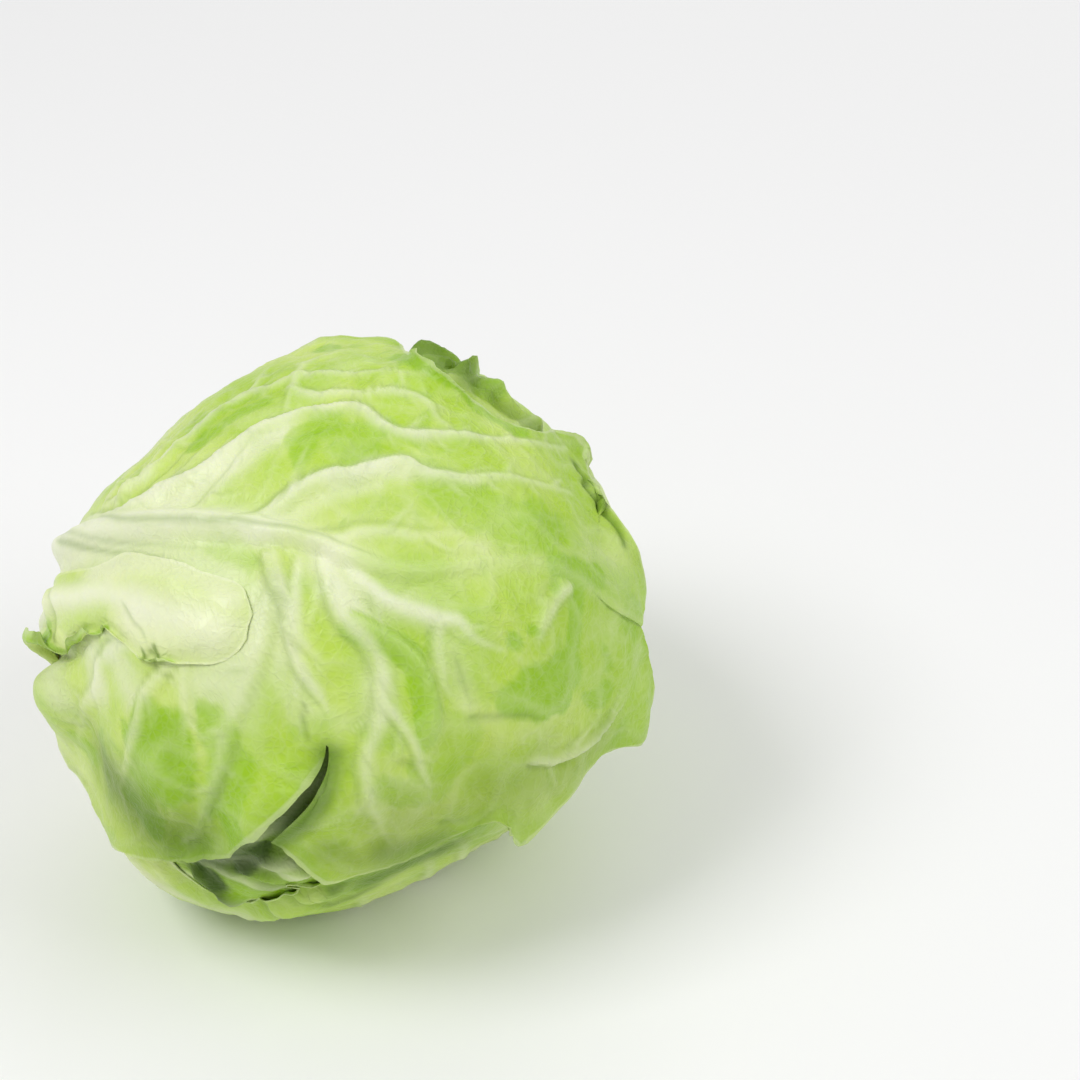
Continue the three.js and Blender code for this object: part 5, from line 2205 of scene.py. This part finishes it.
@dataclass
class Heart:
    """The ball of closed leaves in the middle, with the edges of its own leaves in relief.

    A leaf is its turn round the stem, its length and the reaches of its two sides. step is how
    far the innermost of them stands out, in millimetres. The ball starts as one of start_radius
    metres.
    """

    leaves: tuple[tuple[float, float, float, float], ...] = (
        (20, 150, 70, 66),
        (140, 168, 68, 62),
        (255, 160, 66, 70),
        (320, 176, 60, 60),
    )
    bend: float = 4.0
    levels: int = 7
    start_radius: float = 0.085
    step: float = 1.3
    rib_height: float = 1.8
    rib_width: float = 5.0
    seed: int = 61

    def build(self) -> None:
        """Makes and dresses the heart."""
        ball = bpy.ops.mesh.primitive_ico_sphere_add
        heart = add(ball, "heart_ball", subdivisions=self.levels, radius=self.start_radius)
        directions = unit(read_points(heart.data))
        height, vein, painted_shade_line = self.relief(directions)
        zero = np.zeros(len(directions))
        round_share = 1 - HEAD.flat_share(directions, zero, 0)
        height = (height + HEAD.undulation(directions)) * round_share
        place_points(heart.data, directions * HEAD.surface(directions, height, 0)[:, None])
        blank = dict.fromkeys(("lush", "pale", "margin", "old", "deep"), zero)
        give_attributes(heart.data, {"vein": vein, "painted_shade_line": painted_shade_line, **blank})
        bpy.ops.object.shade_smooth_by_angle(angle=SMOOTH_ANGLE)
        dress(heart, LEAF_FINISHES[Slot.HEART].material(), "heart")

    def relief(self, directions: Array) -> tuple[Array, Array, Array]:
        """Lays the heart's own leaves one over another.

        Args:
            directions: Directions from the head's centre.

        Returns:
            Heights in millimetres, and how far each point is a vein or lies in a shadow line.
        """
        height, vein, painted_shade_line = (np.zeros(len(directions)) for _ in range(3))
        noise = Noise(self.seed)
        for k, (turn, length, low, high) in enumerate(self.leaves):
            form = PlainLeaf(length, low, high, self.bend, 1.5 + 0.3 * k)
            plan = LeafPlan("heart_leaf", Slot.HEART, turn, form.stations(), (2, 3), (0, 1, 0))
            coords = HEAD.coordinates(turn, directions)
            wobble = 1.2 * noise.at(directions * HEART_SKIN + 31 * k, 16)
            inside = -outline_distance(coords, plan.outline(False)) * ARC + wobble
            on = smooth(inside / 1.6 + 0.5)
            # Painted shade just past the edge of each of the heart's own leaves.
            under = bump(inside + 1.4, 1.1)
            local = Relief.of(coords, form.veins(self.seed + k))
            from_rib = coords[:, 1] * ARC
            rib = self.rib_height * bump(from_rib, self.rib_width)
            rib = rib * smooth((length - coords[:, 0]) / 60)
            own = self.step * (k * 0.25 + 1) + 0.6 * local.height + rib
            height = height * (1 - 0.75 * on) + on * own
            vein = vein * (1 - on) + on * np.maximum(local.vein, bump(from_rib, 4.5))
            painted_shade_line = np.maximum(painted_shade_line * (1 - on), under * 0.8)
        return height, vein * 0.9, painted_shade_line


@dataclass
class Stem:
    """The cut stem that the leaves grow from.

    cut is how far its cut face lies from the head's centre; rings are the widths of the bands
    that its ends are divided into, from the rim inwards. Its side has lumps and scars and is
    worn, and its cut face is dished, all in millimetres. ring_at is where the cut face's ring
    runs, as a share of the radius.
    """

    radius: float = 15.0
    cut: float = 101.0
    sunk: float = 2.0
    sides: int = 96
    side_cuts: int = 5
    rim: float = 1.4
    rim_steps: int = 4
    rings: tuple[float, ...] = (1.2, 1.2, 1.0, 1.0, 1.2, 1.4, 1.6, 1.8)
    lump: float = 0.7
    lump_size: float = 12.0
    scar: float = 0.5
    scar_size: float = 5.0
    wear: float = 0.9
    dish: float = 0.6
    ring_at: float = 0.68
    ring_width: float = 1.5
    smooth_angle: float = 40 * DEG
    seed: int = 71

    def build(self) -> None:
        """Makes and dresses the stem."""
        axis = HEAD.stem_axis
        foot = float(HEAD.surface(axis[None], np.zeros(1), 0)[0]) - self.sunk
        depth = self.cut - foot
        stem = add(
            bpy.ops.mesh.primitive_cylinder_add,
            "stem_stump",
            vertices=self.sides,
            radius=self.radius * MM,
            depth=depth * MM,
            location=(np.array(HEAD.centre) + axis * (foot + depth / 2)) * MM,
            rotation=Vector(axis).to_track_quat("Z", "Y").to_euler(),
        )
        bpy.ops.object.transform_apply(location=True, rotation=True, scale=True)
        self.refine(stem)
        self.weather(stem)
        bpy.ops.object.shade_smooth_by_angle(angle=self.smooth_angle)
        dress(stem, StemFinish().material(), "stem")

    def refine(self, stem: bpy.types.Object) -> None:
        """Bevels the cut's rim, insets both ends and divides the side.

        Args:
            stem: The stem's object.
        """
        self.select(stem, above=0.9)
        bpy.ops.mesh.bevel(offset=self.rim * MM, segments=self.rim_steps, affect="EDGES")
        bpy.ops.object.mode_set(mode="OBJECT")
        for width in self.rings:
            self.select(stem, above=0.99, corners=5)
            bpy.ops.mesh.inset(thickness=width * MM, depth=0)
            bpy.ops.object.mode_set(mode="OBJECT")
        self.select(stem, below=0.2)
        bpy.ops.mesh.subdivide(number_cuts=self.side_cuts)
        bpy.ops.object.mode_set(mode="OBJECT")

    @staticmethod
    def select(
        stem: bpy.types.Object, above: float = -1.0, below: float = 2.0, corners: int = 3
    ) -> None:
        """Selects faces of the stem and leaves it in edit mode.

        Args:
            stem: The stem's object.
            above: How squarely they face along the stem at least, 1 for its ends.
            below: How squarely at most.
            corners: How many corners they have at least.
        """
        axis = Vector(HEAD.stem_axis)
        faces = [(abs(face.normal.dot(axis)), len(face.vertices)) for face in stem.data.polygons]
        chosen = [above < facing < below and count >= corners for facing, count in faces]
        select_faces(stem, np.array(chosen))

    def weather(self, stem: bpy.types.Object) -> None:
        """Makes the stem out of round, scars it and marks its cut face.

        Args:
            stem: The stem's object.
        """
        axis = HEAD.stem_axis
        points = read_points(stem.data) / MM - np.array(HEAD.centre)
        height = points @ axis
        radial = points - height[:, None] * axis
        away = lengths(radial)
        outward = unit(radial)
        noise = Noise(self.seed)
        spots = outward * self.radius + height[:, None] * axis * 0.4
        lumps = self.lump * noise.at(spots, self.lump_size)
        scars = self.scar * noise.at(points, self.scar_size)
        on_side = smooth((away - 11) / 3)
        points = points + outward * ((lumps + scars - self.wear) * on_side)[:, None]
        on_cut = smooth((height - self.cut + 1.6) / 1.2)
        rough = 0.5 * noise.at(points, 6) + 0.35 * noise.at(points + 9, 2.6)
        points = points - axis * ((self.dish + rough) * on_cut)[:, None]
        place_points(stem.data, points)
        ring = bump(away - self.ring_at * self.radius, self.ring_width) * on_cut
        give_attributes(stem.data, {"cut": on_cut, "ring": ring})


# -------------------- floor, light and camera


@dataclass(frozen=True)
class Lamp:
    """A square soft light that faces the head: its place and side in metres, power in watts."""

    name: str
    place: tuple[float, float, float]
    size: float
    power: float
    aim: tuple[float, float, float] = (0.0, 0.0, 0.08)

    def hang(self) -> None:
        """Hangs the light."""
        bpy.ops.object.light_add(type="AREA", location=self.place)
        light = bpy.context.object
        light.name = self.name
        light.data.size = self.size
        light.data.energy = self.power
        facing = Vector(self.aim) - Vector(self.place)
        light.rotation_euler = facing.to_track_quat("-Z", "Y").to_euler()


@dataclass
class Studio:
    """A pale floor, soft light and the camera.

    The camera's elevation and field of view are in degrees, its distance and how far right of
    the head's centre and above it it aims in metres.
    """

    elevation: float = 35.0
    distance: float = 0.8
    field_of_view: float = 25.0
    aim_right: float = 0.0640
    aim_up: float = 0.0296
    floor_size: float = 30.0
    floor_drop: float = 0.0002
    air: float = 0.5
    lamps: tuple[Lamp, ...] = (
        Lamp("window", (-0.9, -0.5, 1.5), 0.75, 14.0),
        Lamp("fill", (1.5, -0.4, 1.4), 1.3, 13.0),
        Lamp("back", (0.3, 1.3, 1.1), 1.0, 3.0),
    )

    def build(self) -> None:
        """Makes the floor, the lights and the camera."""
        self.floor()
        for lamp in self.lamps:
            lamp.hang()
        self.world()
        self.camera()

    def floor(self) -> None:
        """Lays the floor."""
        place = (0, 0, -self.floor_drop)
        plane = bpy.ops.mesh.primitive_plane_add
        floor = add(plane, "studio_floor", size=self.floor_size, location=place)
        floor.data.materials.append(FloorFinish().material())

    def world(self) -> None:
        """Fills the air with even white light."""
        world = bpy.data.worlds.new("studio_air")
        world.use_nodes = True
        background = world.node_tree.nodes["Background"]
        background.inputs["Color"].default_value = (1.0, 1.0, 1.0, 1.0)
        background.inputs["Strength"].default_value = self.air
        bpy.context.scene.world = world
        bpy.context.scene.view_settings.view_transform = "Standard"

    def camera(self) -> None:
        """Sets the camera."""
        tilt = self.elevation * DEG
        ahead = Vector((0, math.cos(tilt), -math.sin(tilt)))
        up = Vector((0, math.sin(tilt), math.cos(tilt)))
        aim = Vector(HEAD.centre) * MM + Vector((self.aim_right, 0, 0)) + up * self.aim_up
        bpy.ops.object.camera_add(location=aim - ahead * self.distance)
        camera = bpy.context.object
        camera.rotation_euler = ahead.to_track_quat("-Z", "Y").to_euler()
        camera.data.sensor_fit = "HORIZONTAL"
        camera.data.angle = self.field_of_view * DEG
        bpy.context.scene.camera = camera


def main() -> None:
    """Builds the head and its studio, piece by piece."""
    logging.basicConfig(level=logging.INFO, format="%(message)s")
    Heart().build()
    Stem().build()
    Foliage().build()
    Studio().build()


if __name__ == "__main__":
    main()
